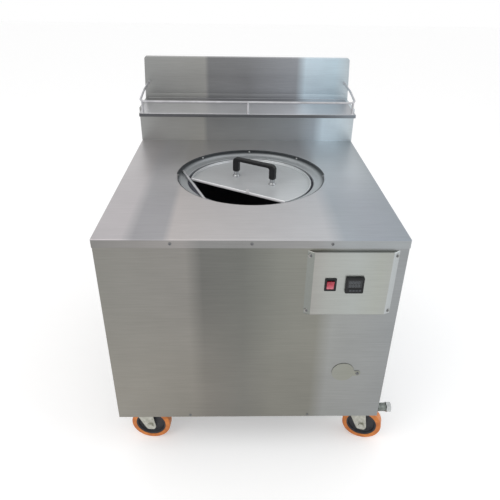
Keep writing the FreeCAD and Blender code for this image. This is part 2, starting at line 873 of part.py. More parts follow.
bezel_size = (31, 39)
bezel_proud = 2.5
rocker_size = (19, 25.6)
well_size = (20, 28)
switch_body = fuse(
    "switch_body",
    window("switch_bezel", switch_x, switch_z, bezel_size, panel_face - bezel_proud, bezel_proud),
    window("switch_case", switch_x, switch_z, switch_cut, panel_face, 32),
)
seat(
    "switch_housing",
    cut(
        "switch_housing", switch_body,
        window("switch_well", switch_x, switch_z, well_size, panel_face - bezel_proud - 1, 17),
    ),
)
rocker_tilt = 11
rocker_pivot = 4
half_rocker = rocker_size[1] / 2
rocker = padded(
    "switch_rocker",
    "YZ_Plane",
    [
        (5, -7),
        (5, 7),
        (-5.5, half_rocker),
        (-4, 0),
        (-5.5, -half_rocker),
    ],
    rocker_size[0],
)
rocker_turn = Rotation(Vector(1, 0, 0), rocker_tilt)
seat(
    "switch_rocker", rocker, (switch_x - rocker_size[0] / 2, panel_face + rocker_pivot - bezel_proud, switch_z),
    rocker_turn,
)

meter_size = (48, 48)
glass_size = (38, 24)
glass_lift = 5
case_solid = fuse(
    "case_solid",
    window("meter_bezel", meter_x, meter_z, meter_size, panel_face - meter_proud, meter_proud),
    window("meter_body", meter_x, meter_z, meter_cut, panel_face, 78),
)
seat(
    "controller_case",
    cut(
        "controller_case", case_solid,
        window("glass_seat", meter_x, meter_z + glass_lift, glass_size, panel_face - meter_proud - 1, 3),
    ),
)
seat(
    "controller_window",
    window(
        "controller_window", meter_x, meter_z + glass_lift, glass_size, panel_face - meter_proud + 0.6, 1.4
    ),
)

gland_body = turned(
    "cable_gland",
    [
        (5, -6),
        (gland_hole, -6),
        (gland_hole, 0),
        (13, 0),
        (13, 9),
        (11, 11),
        (11, 18),
        (8.5, gland_reach),
        (5, gland_reach),
    ],
)
seat("cable_gland", gland_body, (gland_x, cabinet_depth - gauge, gland_z), Rotation(Vector(1, 0, 0), -90))

# ---- riser, splash panel, shelf and its rail ----------------------------------------------------
riser_top = shelf_level - gauge
riser_outer, riser_inside = tray(
    "riser",
    (cabinet_width, cabinet_depth - riser_front, riser_top - deck),
    (-half_width, riser_front, deck),
    ("-z",),
)
seat("rear_riser", cut("rear_riser", riser_outer, riser_inside))

splash_rise = splash_top - riser_top
corner_cut = 7
splash_head = half_width - splash_taper
splash = padded(
    "splash_panel",
    "XZ_Plane",
    [
        (-half_width, 0),
        (half_width, 0),
        (splash_head, splash_rise - corner_cut),
        (splash_head - corner_cut, splash_rise),
        (-splash_head + corner_cut, splash_rise),
        (-splash_head, splash_rise - corner_cut),
    ],
    splash_depth,
    backwards=True,
)
pocketed(
    splash,
    "splash_fold",
    "XZ_Plane",
    [
        (-half_width + gauge, 0),
        (half_width - gauge, 0),
        (splash_head - gauge, splash_rise - corner_cut),
        (splash_head - corner_cut, splash_rise - gauge),
        (-splash_head + corner_cut, splash_rise - gauge),
        (-splash_head + gauge, splash_rise - corner_cut),
    ],
    splash_depth - gauge,
)
splash_front = cabinet_depth - splash_depth
seat("splash_panel", splash, (0, cabinet_depth, riser_top), Rotation(Vector(0, 0, 1), 180))

shelf_outer, shelf_inside = tray(
    "shelf",
    (shelf_width, splash_front - shelf_front, shelf_lip),
    (-shelf_width / 2, shelf_front, shelf_level - shelf_lip),
    ("-z", "+y"),
)
riser_relief = box(
    "riser_relief",
    (shelf_width, cabinet_depth - riser_front, shelf_lip - gauge),
    (-shelf_width / 2, riser_front, shelf_level - shelf_lip),
)
seat("shelf", cut("shelf", shelf_outer, shelf_inside, riser_relief))

rail_x = shelf_width.value / 2 - 6
rail_y = shelf_front.value + 6
rail_z = shelf_level.value + rail_lift.value
guard_z = shelf_level.value + guard_lift.value
rail_bend = 22
rail_points = [
    Vector(-rail_x, splash_front.value + rail_radius.value, guard_z),
    Vector(-rail_x, rail_y, rail_z),
    Vector(rail_x, rail_y, rail_z),
    Vector(rail_x, splash_front.value + rail_radius.value, guard_z),
]
rail_path = bent_path(rail_points, [rail_bend, rail_bend])
rail_rod = made("rail_rod", swept(rail_path, rail_radius.value))
# The rod's ends are cut flush with the splash panel, to which they are welded.
rail_trim = box("rail_trim", (cabinet_width, rail_bend, guard_lift * 2), (-half_width, splash_front, shelf_level))
posts = []
for post_x in (-shelf_width / 2 + 14, sized(0), shelf_width / 2 - 14):
    posts.append(rod("rail_post", rail_radius, rail_lift, (post_x, shelf_front + 6, shelf_level)))
seat("shelf_rail", cut("shelf_rail", fuse("rail_whole", rail_rod, *posts), rail_trim))

# ---- lid, handle and skewer rest ----------------------------------------------------------------
lid_level = rim_z + free_gap
lid_turning = Rotation(Vector(0, 0, 1), lid_turn)


def lid_point(across, back):
    """A point of the lid, from its centre along and away from its straight edge."""
    spot = lid_turning.multVec(Vector(across, back, 0))
    return mouth_x + spot.x, mouth_y - lid_forward + spot.y


def lid_outline(inset):
    radius = lid_radius - inset
    flat = lid_flat - inset
    corner = half_chord(radius, flat)
    return [(-corner, -flat), (corner, -flat, radius), (0, radius, radius)]


lid = padded("lid_pan", "XY_Plane", lid_outline(sized(0)), lid_rim)
pocketed(lid, "lid_floor", "XY_Plane", lid_outline(gauge), lid_rim, backwards=True, lift=gauge)
tab_x = 38
tab_width = 10
tab_rise = 10
drawn(
    lid, "Pad", "lid_tab", "XZ_Plane",
    [
        (tab_x, lid_rim / 2),
        (tab_x + tab_width, lid_rim / 2),
        (tab_x + tab_width, lid_rim + tab_rise),
        (tab_x, lid_rim + tab_rise),
    ],
    gauge, False, lid_flat - gauge,
)
seat("lid_pan", lid, (*lid_point(0, 0), lid_level), lid_turning)

lid_floor = lid_level + gauge
half_span = handle_span / 2
foot_solids = []
for foot_x in (-half_span, half_span):
    foot = turned(
        "lid_handle_foot",
        [
            (0, 0),
            (12, 0),
            (12, 2.5),
            (8.5, 5),
            (8.5, foot_height),
            (0, foot_height),
        ],
    )
    foot_solids.append(put(foot, (foot_x, 0, 0)))
seat(
    "lid_handle_feet", group("lid_handle_feet", foot_solids),
    (*lid_point(0, handle_back.value), lid_floor), lid_turning,
)

outer_x = half_span + grip_post / 2
inner_x = half_span - grip_post / 2
shoulder = 14
armpit = 6
grip = padded(
    "lid_grip",
    "XZ_Plane",
    [
        (-outer_x, foot_height),
        (-inner_x, foot_height),
        (-inner_x, grip_top - grip_bar - armpit, -armpit),
        (-inner_x + armpit, grip_top - grip_bar),
        (inner_x - armpit, grip_top - grip_bar, -armpit),
        (inner_x, grip_top - grip_bar - armpit),
        (inner_x, foot_height),
        (outer_x, foot_height),
        (outer_x, grip_top - shoulder, shoulder),
        (outer_x - shoulder, grip_top),
        (-outer_x + shoulder, grip_top, shoulder),
        (-outer_x, grip_top - shoulder),
    ],
    grip_depth,
)
grip_back = handle_back.value + grip_depth.value / 2
seat("lid_grip", grip, (*lid_point(0, grip_back), lid_floor), lid_turning)

rest_offset = 190
rest_length = 253
rest_radius = 4
rest_drop = 11
rest_turn = Rotation(Vector(0, 0, 1), math.degrees(math.atan2(-0.9375, 0.348)))
rest_end = 1.5
skewer_rest = turned(
    "skewer_rest",
    [
        (0, -rest_length / 2),
        (rest_radius - rest_end, -rest_length / 2),
        (rest_radius, -rest_length / 2 + rest_end),
        (rest_radius, rest_length / 2 - rest_end),
        (rest_radius - rest_end, rest_length / 2),
        (0, rest_length / 2),
    ],
)
rest_side = rest_turn.multVec(Vector(0, -rest_offset, 0))
seat(
    "skewer_rest", skewer_rest, (mouth_x + rest_side.x, mouth_y + rest_side.y, deck - rest_drop),
    rest_turn * ALONG["x"],
)

# ---- peephole cover -----------------------------------------------------------------------------
cover_radius = 33
cover_face = gauge - free_gap
cover_disc = rod("cover_disc", cover_radius, gauge, (peep_x, cover_face - gauge, peep_z), "y")
cover_ear = rod("cover_ear", ear_radius, gauge, (pivot_x, cover_face - gauge, pivot_z), "y")
cover_neck = box(
    "cover_neck", (pivot_x - peep_x, gauge, ear_radius * 2), (peep_x, cover_face - gauge, pivot_z - ear_radius)
)
ear_play = pivot_radius + running_gap
cover_hole = rod("cover_hole", ear_play, 8, (pivot_x, cover_face - gauge - 2, pivot_z), "y")
seat("peephole_cover", cut("peephole_cover", fuse("cover_blank", cover_disc, cover_neck, cover_ear), cover_hole))
pivot_shank = rod("pivot_shank", pivot_radius, 6.5, (pivot_x, cover_face - gauge - free_gap, pivot_z), "y")
pivot_head = rod("pivot_head", 5, 2, (pivot_x, cover_face - gauge - free_gap - 2, pivot_z), "y")
seat("peephole_pivot", fuse("peephole_pivot", pivot_shank, pivot_head))

# ---- castors ------------------------------------------------------------------------------------
# Each castor is drawn about its own swivel axis, from the floor, with the wheel trailing towards
# +X, and is then turned and moved to its corner.
plate_under = castor_height - plate_gauge
race_radius = 31
race_low = plate_under - 8
crown_top = race_low - free_gap
head_radius = 27
fork_top = crown_top - 6
king_head = 10
king_end = 6
fork_gap = wheel_width / 2 + 2.5
leg_spread = 36
leg_heel = 27
leg_knee = 17.5
leg_toe = 11
knee_drop = 8.5
toe_drop = 19.5
tyre_shoulder = 3
hub_radius = 14
hub_half = 18


def castor_plate(name):
    slab = box(name + "_slab", (plate_length, plate_width, plate_gauge),
               (-plate_length / 2, -plate_width / 2, plate_under))
    race = rod(name + "_race", race_radius, plate_under - race_low, (0, 0, race_low))
    king = rod(name + "_king", king_radius, plate_under - fork_top + king_end, (0, 0, fork_top - king_end))
    head = rod(name + "_head", king_head, king_end, (0, 0, fork_top - plate_gauge - free_gap - king_end))
    holes = []
    for step_x in (-bolt_x, bolt_x):
        for step_y in (-bolt_y, bolt_y):
            holes.append(rod(name + "_hole", bolt_radius, 10, (step_x, step_y, plate_under - 3)))
    return cut(name, fuse(name + "_whole", slab, race, king, head), *holes)


def castor_fork(name):
    legs = []
    axle_z = wheel_radius
    for side in (0, 1):
        leg = padded(
            name + "_leg",
            "XZ_Plane",
            [
                (-leg_heel, fork_top),
                (castor_trail - leg_knee, axle_z - knee_drop),
                (castor_trail - leg_toe, axle_z - toe_drop),
                (castor_trail + leg_toe, axle_z - toe_drop),
                (castor_trail + leg_knee, axle_z - knee_drop),
                (leg_spread, fork_top),
            ],
            plate_gauge,
            backwards=True,
        )
        legs.append(put(leg, (0, fork_gap if side else -fork_gap - plate_gauge, 0)))
    crown = box(
        name + "_crown",
        (leg_heel + leg_spread, fork_gap * 2 + plate_gauge * 2, plate_gauge),
        (-leg_heel, -fork_gap - plate_gauge, fork_top - plate_gauge),
    )
    race = rod(name + "_race", head_radius, crown_top - fork_top, (0, 0, fork_top))
    bore = rod(name + "_bore", king_radius + running_gap, 60, (0, 0, fork_top - 20))
    axle_hole = rod(name + "_axle_hole", axle_radius, 80, (castor_trail, -40, wheel_radius), "y")
    return cut(name, fuse(name + "_whole", crown, race, *legs), bore, axle_hole)


def castor_axle(name):
    reach = fork_gap + plate_gauge
    shank = rod(name + "_shank", axle_radius, reach * 2, (0, -reach, 0), "y")
    head = hexagon(name + "_head", 16, 6, (0, -reach - 6, 0), "y")
    nut = hexagon(name + "_nut", 16, 8, (0, reach, 0), "y")
    return fuse(name, shank, head, nut)


def castor_core(name):
    """Wheel core: hub, thin web and rim, turned about the axle."""
    half_rim = wheel_width / 2 - 1
    bore = axle_radius + running_gap
    return turned(
        name,
        [
            (bore, -hub_half),
            (hub_radius, -hub_half),
            (hub_radius + 2, -9),
            (core_radius - 8, -7),
            (core_radius - 5, -half_rim),
            (core_radius, -half_rim),
            (core_radius, half_rim),
            (core_radius - 5, half_rim),
            (core_radius - 8, 7),
            (hub_radius + 2, 9),
            (hub_radius, hub_half),
            (bore, hub_half),
        ],
    )


def castor_tyre(name):
    half = wheel_width / 2
    return turned(
        name,
        [
            (core_radius, -half),
            (wheel_radius - tyre_shoulder, -half),
            (wheel_radius, -half + tyre_shoulder),
            (wheel_radius, half - tyre_shoulder),
            (wheel_radius - tyre_shoulder, half),
            (core_radius, half),
        ],
    )


for corner, (side, rear, swivel) in CASTORS.items():
    across, back = castor_place(side, rear)
    swivelled = Rotation(Vector(0, 0, 1), swivel)
    wheel_turn = swivelled * ALONG["y"]
    wheel_x = across + castor_trail * math.cos(math.radians(swivel))
    wheel_y = back + castor_trail * math.sin(math.radians(swivel))
    name = "castor_plate_" + corner
    seat(name, castor_plate(name), (across, back, 0))
    name = "castor_fork_" + corner
    seat(name, castor_fork(name), (across, back, 0), swivelled)
    name = "castor_axle_" + corner
    seat(name, castor_axle(name), (wheel_x, wheel_y, wheel_radius), swivelled)
    name = "wheel_core_" + corner
    seat(name, castor_core(name), (wheel_x, wheel_y, wheel_radius), wheel_turn)
    name = "tyre_" + corner
    seat(name, castor_tyre(name), (wheel_x, wheel_y, wheel_radius), wheel_turn)

bolts = []
for side, rear, _ in CASTORS.values():
    across, back = castor_place(side, rear)
    for step_x in (-bolt_x, bolt_x):
        for step_y in (-bolt_y, bolt_y):
            bolt_at = (across + step_x, back + step_y)
            head = hexagon("bolt_head", 13, 5, (bolt_at[0], bolt_at[1], plate_under - 5))
            shank = rod("bolt_shank", bolt_radius, inner_floor + 8 - plate_under, (*bolt_at, plate_under))
            nut = hexagon("bolt_nut", 13, 6.5, (bolt_at[0], bolt_at[1], inner_floor))
            bolts.append(fuse("castor_bolt", head, shank, nut))
seat("castor_bolts", group("castor_bolts", bolts))

# ---- small screws: heads only, seated on the sheet ----------------------------------------------
screw_radius = 4
screw_height = 2


def face_screw(name, at, along, outwards):
    """A pan head on a face whose normal is along (outwards is -1 or 1) an axis."""
    spot = list(at)
    if outwards < 0:
        axis = "xyz".index(along)
        spot[axis] = sized(spot[axis]) - screw_height
    return rod(name, screw_radius, screw_height, spot, along)


lip_z = castor_height + 611
toe_z = castor_height + 8
heads = []
for screw_x in (-204, 0, 202):
    heads.append(face_screw("lip_screw", (screw_x, 0, lip_z), "y", -1))
    heads.append(face_screw("lip_screw", (screw_x, cabinet_depth, lip_z), "y", 1))
for screw_x in (-180, 180):
    heads.append(face_screw("toe_screw", (screw_x, gauge, toe_z), "y", -1))
for screw_y in (160, 480, 800):
    heads.append(face_screw("lip_screw", (-half_width, screw_y, lip_z), "x", -1))
    heads.append(face_screw("lip_screw", (half_width, screw_y, lip_z), "x", 1))
seat("cabinet_screws", group("cabinet_screws", heads))

ring_heads = []
ring_screw_drop = 5
ring_screw_radius = 3.2
ring_screw_height = 1.8
# A flat head touches the curved wall at its two sides, so its middle stands a hair off the wall.
ring_screw_gap = 0.05
ring_screw_reach = hole_radius.value - gauge.value - ring_screw_height - ring_screw_gap
for step in range(8):
    turn = Rotation(Vector(0, 0, 1), 45 * step)
    head = doc.addObject("Part::Cylinder", "ring_screw")
    bind(head, Radius=ring_screw_radius, Height=ring_screw_height)
    spot = turn.multVec(Vector(ring_screw_reach, 0, 0))
    put(head, (mouth_x + spot.x, mouth_y + spot.y, deck - ring_screw_drop), turn * ALONG["x"])
    ring_heads.append(head)
seat("mouth_ring_screws", group("mouth_ring_screws", ring_heads))

panel_heads = []
for spot in panel_screws:
    panel_heads.append(face_screw("panel_screw", spot, "y", -1))
seat("control_panel_screws", group("control_panel_screws", panel_heads))

# ---- check and export ---------------------------------------------------------------------------
doc.recompute()
failed = [item.Name for item in doc.Objects if {"Invalid", "Error"} & set(item.State)]
for name, item in nodes.items():
    shape = item.Shape
    if shape.isNull() or not shape.isValid() or not shape.Solids:
        failed.append(name)
    print("%-28s %9.0f mm3  %d solid(s)" % (name, shape.Volume, len(shape.Solids)))
if failed:
    raise RuntimeError("not built: " + ", ".join(failed))
whole_box = FreeCAD.BoundBox()
for item in nodes.values():
    whole_box.add(item.Shape.BoundBox)
print("outer box", whole_box)
os.makedirs("parts", exist_ok=True)
for name, item in nodes.items():
    item.Shape.exportStep("parts/" + name + ".step")
print(len(nodes), "sub-parts written")
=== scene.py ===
# %% [markdown]
# # A gas-fired clay tandoor oven on castors
# The real oven is a big clay jar, packed in wool inside a cabinet of brushed stainless sheet.
# What the eye sees is thin metal: folded panels, a spun ring round the mouth, a lid with a
# plastic grip, a railed shelf, a raised control panel and four orange-tyred castors. The
# measured frame is loaded first. Its pieces give every size and place below, so nothing is
# fitted by eye; this script only dresses them.

# %% The frame
import math
import random

import bmesh
import bpy
from mathutils import Matrix, Vector


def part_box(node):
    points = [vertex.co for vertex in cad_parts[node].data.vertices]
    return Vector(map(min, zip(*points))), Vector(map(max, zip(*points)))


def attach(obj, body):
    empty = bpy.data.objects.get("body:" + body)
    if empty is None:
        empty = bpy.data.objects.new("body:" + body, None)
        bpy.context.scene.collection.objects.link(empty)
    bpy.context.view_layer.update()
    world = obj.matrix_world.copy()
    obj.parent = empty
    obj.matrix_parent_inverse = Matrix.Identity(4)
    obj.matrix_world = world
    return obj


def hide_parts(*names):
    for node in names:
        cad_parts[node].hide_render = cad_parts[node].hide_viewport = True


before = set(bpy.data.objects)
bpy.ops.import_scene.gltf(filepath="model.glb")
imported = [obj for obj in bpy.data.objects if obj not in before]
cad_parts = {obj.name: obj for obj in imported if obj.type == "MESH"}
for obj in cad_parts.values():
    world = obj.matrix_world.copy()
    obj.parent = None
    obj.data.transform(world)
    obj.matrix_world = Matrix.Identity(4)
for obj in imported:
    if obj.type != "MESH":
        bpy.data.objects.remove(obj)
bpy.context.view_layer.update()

# %% [markdown]
# ## Sizes that several pieces share
# One folded sheet meets the next all over this cabinet, so a few places are read once from the
# frame: the table top's level and edges, and the axis and radius of the mouth. The cabinet is
# 800 mm wide and 955 mm deep, and its sheet is 1.5 mm thick. Lengths are written in
# millimetres, as a sheet-metal worker would, and MM makes them metres.

# %% Shared sizes
MM = 0.001
SHEET = 1.5
GAUGE = SHEET * MM
HALF_WIDTH = 400
DEPTH = 955
top_low, top_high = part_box("table_top")
LEFT, RIGHT = top_low.x, top_high.x
FRONT, BACK = top_low.y, top_high.y
DECK = top_high.z
MIDDLE = (LEFT + RIGHT) / 2
ring_low, ring_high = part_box("mouth_ring")
MOUTH = Vector(((ring_low.x + ring_high.x) / 2, (ring_low.y + ring_high.y) / 2, DECK))
HOLE_RADIUS = (ring_high.x - ring_low.x) / 2
print("deck level", round(DECK, 4), "mouth axis", tuple(round(value, 4) for value in MOUTH))

# %% [markdown]
# ## Colours and nodes
# A colour given as a hex value is an sRGB value, but the renderer mixes light in linear numbers,
# so one function turns a hex value to linear. A second one adds a shader node with its settings
# and inputs; an input that is given another node's socket is linked to it. The rest are
# short names for the nodes that come back again and again: a colour ramp, noise, a value laid
# on a new range, plain arithmetic, a blend of colours and a raised grain. Nodes could be added
# by hand in the editor, but a function keeps each link beside the value that it feeds.

# %% Colour and node helpers
def linear(hex_colour):
    """An sRGB hex value such as "#8a8883" as linear red, green, blue and alpha."""
    channels = []
    for start in (1, 3, 5):
        value = int(hex_colour[start:start + 2], 16) / 255
        channels.append(value / 12.92 if value <= 0.04045 else ((value + 0.055) / 1.055) ** 2.4)
    return (*channels, 1.0)


def add_node(tree, kind, settings=(), inputs=()):
    """Add a node; settings are its own properties, and inputs are values or sockets to link."""
    node = tree.nodes.new(kind)
    for name, value in dict(settings).items():
        setattr(node, name, value)
    for name, value in dict(inputs).items():
        if isinstance(value, bpy.types.NodeSocket):
            tree.links.new(value, node.inputs[name])
        else:
            node.inputs[name].default_value = value
    return node


def new_material(name, **shader):
    """A material with its Principled shader; the keywords are the shader's plain values."""
    material = bpy.data.materials.new(name)
    material.use_nodes = True
    tree = material.node_tree
    surface = tree.nodes["Principled BSDF"]
    for socket, value in shader.items():
        surface.inputs[socket.replace("_", " ")].default_value = value
    place = add_node(tree, "ShaderNodeTexCoord").outputs["Object"]
    return material, tree, surface, place


def ramp(tree, value, stops):
    """The colour at a value from 0 to 1, between (place, hex colour) stops."""
    node = add_node(tree, "ShaderNodeValToRGB", inputs={"Fac": value})
    elements = node.color_ramp.elements
    while len(elements) < len(stops):
        elements.new(0.5)
    for element, (spot, colour) in zip(elements, stops):
        element.position = spot
        element.color = linear(colour)
    return node.outputs["Color"]


def noise(tree, place, scale, detail, roughness=0.5):
    """Cloudy noise about 0.5, with a number of lumps in a metre."""
    return add_node(tree, "ShaderNodeTexNoise", inputs={
        "Vector": place, "Scale": scale, "Detail": detail, "Roughness": roughness,
    }).outputs["Fac"]


def remap(tree, value, start, end, low=0.0, high=1.0, kind="LINEAR"):
    """A value's way from start to end, laid on the way from low to high."""
    return add_node(tree, "ShaderNodeMapRange", {"interpolation_type": kind}, {
        "Value": value, "From Min": start, "From Max": end, "To Min": low, "To Max": high,
    }).outputs[0]


def reckon(tree, operation, *values, clamp=False):
    """Combine numbers or sockets by one of the Math node's operations."""
    settings = {"operation": operation, "use_clamp": clamp}
    return add_node(tree, "ShaderNodeMath", settings, dict(enumerate(values))).outputs[0]


def blend(tree, share, first, second):
    """Two colours mixed by a share from 0 to 1."""
    return add_node(tree, "ShaderNodeMix", {"data_type": "RGBA"}, {
        0: share, 6: first, 7: second,
    }).outputs[2]


def lift(tree, surface, height, strength, distance):
    """Let a height from 0 to 1 raise a surface's grain by a distance in metres."""
    bump = add_node(tree, "ShaderNodeBump", inputs={
        "Height": height, "Strength": strength, "Distance": distance,
    })
    tree.links.new(bump.outputs[0], surface.inputs["Normal"])


# %% [markdown]
# ## Brushed stainless steel
# The cabinet is austenitic stainless sheet with a satin finish, rubbed along its length with a
# belt. The rubbing leaves fine lines about a third of a millimetre apart. They blur reflections
# across the lines, so the sheet shows its surroundings only as broad soft bands, warm on one
# side and blue on the other. The lines are too fine to render, so they are drawn a few times
# coarser. A plain studio is too even to give such bands, so they are painted into the sheet's
# own colour as painted reflections: a ramp along the cabinet's width, and a second ramp that
# takes over towards the other end of the sheet, where the painted reflections and painted shade
# change along the sheet. Each band is given by its place in millimetres from the cabinet's
# middle line.

# %% How satin steel is made
GRAIN = 1.4 * MM
GRAIN_STRETCH = 60
LINE_CONTRAST, CLOUD_CONTRAST = 0.16, 0.1
CLOUDS_PER_METRE = 7.0
WIDTH_SHOWN = 2 * HALF_WIDTH * MM


def satin_steel(name, bands, far_axis="Y", far_from=0.0, far_to=1.0, roughness=0.33, grain_axis=0,
                metallic=1.0):
    """Belt-rubbed sheet; its painted reflection bands are (mm from the middle line, near hex, far
    hex) over its width.
    """
    material, tree, surface, place = new_material(name, Metallic=metallic)
    parts = add_node(tree, "ShaderNodeSeparateXYZ", inputs={0: place}).outputs
    across = remap(tree, parts["X"], MIDDLE - WIDTH_SHOWN / 2, MIDDLE + WIDTH_SHOWN / 2)
    colours = [
        ramp(tree, across, [(0.5 + band[0] * MM / WIDTH_SHOWN, band[end]) for band in bands])
        for end in (1, -1)
    ]
    # Painted reflections and painted shade: the near ramp gives way to the far one along the far
    # axis.
    tone = blend(tree, remap(tree, parts[far_axis], far_from, far_to, kind="SMOOTHSTEP"), *colours)

    # Lines of the belt: noise drawn out along the grain.
    scale = [1 / GRAIN] * 3
    scale[grain_axis] /= GRAIN_STRETCH
    stretched = add_node(
        tree, "ShaderNodeMapping", inputs={"Vector": place, "Scale": scale},
    ).outputs[0]
    lines = noise(tree, stretched, 1.0, 3.0, 0.6)
    # Slow clouds: sheet is never quite flat, and hands have been on it.
    clouds = noise(tree, place, CLOUDS_PER_METRE, 2.0)
    line_tone = remap(tree, lines, 0, 1, 1 - LINE_CONTRAST, 1 + LINE_CONTRAST)
    cloud_tone = remap(tree, clouds, 0, 1, 1 - CLOUD_CONTRAST, 1 + CLOUD_CONTRAST)
    rubbed = add_node(tree, "ShaderNodeVectorMath", {"operation": "SCALE"}, {
        0: tone, "Scale": reckon(tree, "MULTIPLY", line_tone, cloud_tone),
    })
    tree.links.new(rubbed.outputs[0], surface.inputs["Base Color"])
    dull = remap(tree, clouds, 0, 1, roughness - 0.04, roughness + 0.06)
    tree.links.new(dull, surface.inputs["Roughness"])
    lift(tree, surface, lines, 0.12, 0.2 * MM)
    return material


# %% Satin steel, sheet by sheet
# Each sheet's bands are painted reflections, and its far ramp paints the shade and reflections
# towards its other end.
front_steel = satin_steel(
    "satin_stainless_front",
    [(-400, "#84837e", "#8e8b84"), (-168, "#868480", "#8a8780"), (-128, "#6b6b68", "#827f79"),
     (-20, "#6e6f6b", "#7b7a75"), (70, "#7f807a", "#82817a"), (180, "#85857e", "#82817a"),
     (225, "#999b99", "#949593"), (400, "#909395", "#8f9191")],
    "Z", DECK - 80 * MM, DECK - 560 * MM,
)
lip_steel = satin_steel(
    "satin_stainless_lip",
    [(-400, "#82817f"), (-175, "#94918f"), (-128, "#848483"), (0, "#878786"), (160, "#939393"),
     (240, "#9a9ea0")],
)
top_steel = satin_steel(
    "satin_stainless_top",
    [(-325, "#b4b0b2", "#bbb8b9"), (-295, "#9a999c", "#b9b8ba"), (-222, "#a09fa2", "#bcbbbb"),
     (-203, "#b9b4b3", "#b9b7b5"), (190, "#b8b9bc", "#b9bbbd"), (235, "#9ea5ac", "#cdd4d8"),
     (320, "#999fa7", "#c0c7cc"), (400, "#939aa1", "#9aa1a6")],
    "Y", FRONT + 180 * MM, FRONT + 600 * MM, roughness=0.38, metallic=0.8,
)
splash_steel = satin_steel(
    "satin_stainless_splash",
    [(-400, "#8f908f"), (-163, "#9d9d9a"), (-148, "#808182"), (0, "#838486"), (190, "#989ba0"),
     (225, "#c8d8e2"), (340, "#b9cbd5"), (400, "#b2babe")],
    roughness=0.32,
)
riser_steel = satin_steel(
    "satin_stainless_riser",
    [(-400, "#969796"), (-166, "#adada9"), (-150, "#949595"), (20, "#9b9d9e"), (190, "#a0a4a8"),
     (250, "#b0b8bf"), (285, "#dceaf3"), (340, "#d6e4ec"), (400, "#bac2c6")],
    roughness=0.36, metallic=0.8,
)
# The shelf is painted darker towards the splash panel, as painted shade where the two meet.
shelf_steel = satin_steel(
    "satin_stainless_shelf",
    [(-400, "#98989a", "#88888a"), (-350, "#d0d0d2", "#929292"), (-150, "#d2d2d4", "#86868a"),
     (180, "#d4d6da", "#8a8c90"), (250, "#b6babf", "#a9aeb4"), (340, "#b9bcc1", "#adb1b7"),
     (400, "#888b90", "#92979c")],
    "Y", BACK - 130 * MM, BACK - 55 * MM, metallic=0.8,
)
panel_steel = satin_steel(
    "satin_stainless_panel",
    [(150, "#9c9a96"), (200, "#a4a6a2"), (270, "#a7aba8"), (330, "#a3a6a0"), (400, "#9fa09e")],
)
# Painted shade on the panel's left slopes and painted light on its right ones.
shade_painted_slope_steel = satin_steel("panel_slope_painted_shade", [(100, "#858884"), (400, "#898c88")])
light_painted_slope_steel = satin_steel("panel_slope_painted_light", [(100, "#a8acac"), (400, "#aeb2b3")])
lid_steel = satin_steel(
    "satin_stainless_lid",
    [(-200, "#bdbfc0"), (0, "#c2c4c6"), (200, "#c6cbcd")],
    roughness=0.34, metallic=0.45,
)
# Painted light and shade: light low on the ring at its ledge, dark at the top of its wall.
ring_steel = satin_steel(
    "satin_ring_painted_light_and_shade",
    [(-240, "#b2b6b8", "#3a3d40"), (0, "#b8bcbe", "#2e3134"), (200, "#c2c8cb", "#363a3d"),
     (240, "#c8d0d4", "#44494c")],
    "Z", DECK - 24 * MM, DECK - 4 * MM, roughness=0.4, metallic=0.55,
)
hem_painted_light_steel = satin_steel(
    "lid_hem_painted_light", [(-200, "#eeeef0"), (200, "#f4f4f6")], roughness=0.5, metallic=0.1,
)
# Painted shade: a dark steel for faces put in shade, the shelf's front lip and the inner side of
# the lid's straight rim.
painted_shade_steel = satin_steel(
    "painted_shade_dark_steel", [(-400, "#5a5b5e"), (230, "#626467"), (400, "#838a91")], roughness=0.45,
    metallic=0.6,
)
cover_steel = satin_steel("satin_stainless_cover", [(230, "#93948d"), (310, "#8f9087")])
side_steel = satin_steel(
    "satin_stainless_sides", [(-400, "#8f8f8d"), (400, "#949799")], grain_axis=1,
)
rear_steel = satin_steel(
    "satin_stainless_rear", [(-400, "#8a8b8b"), (0, "#858686"), (400, "#8f9192")],
)
print("satin steels made")

# %% [markdown]
# ## Plastics, rubber and plated metal
# The small parts tell the eye what the big ones are made of. The grip, the switch's frame and
# the controller are moulded black thermoplastic with a fine spark-eroded grain, which looks
# dark grey where light grazes it. The tyres are cast polyurethane: a saturated orange with a
# soft sheen, dusty where they have rolled. The castor forks are pressed steel with bright zinc
# plating, greyish yellow in patches. One function makes them all: a colour that wanders a
# little, a roughness that wanders with it, and a bump at the size of the surface's own grain. A
# photograph of each surface could be wrapped round it instead, but a pattern in millimetres
# fits any piece and has no seams.

# %% Moulded, cast and plated finishes
def grained(name, dark, light, grain, bump, roughness, patch=18 * MM, **shader):
    """A finish whose colour wanders between two hexes in patches, over a grain of a given size."""
    material, tree, surface, place = new_material(name, **shader)
    patches = noise(tree, place, 1 / patch, 4.0, 0.6)
    tone = ramp(tree, patches, [(0.36, dark), (0.66, light)])
    tree.links.new(tone, surface.inputs["Base Color"])
    dull = remap(tree, patches, 0.3, 0.7, roughness * 0.85, roughness * 1.15)
    tree.links.new(dull, surface.inputs["Roughness"])
    lift(tree, surface, noise(tree, place, 1 / grain, 2.0), bump, grain / 3)
    return material


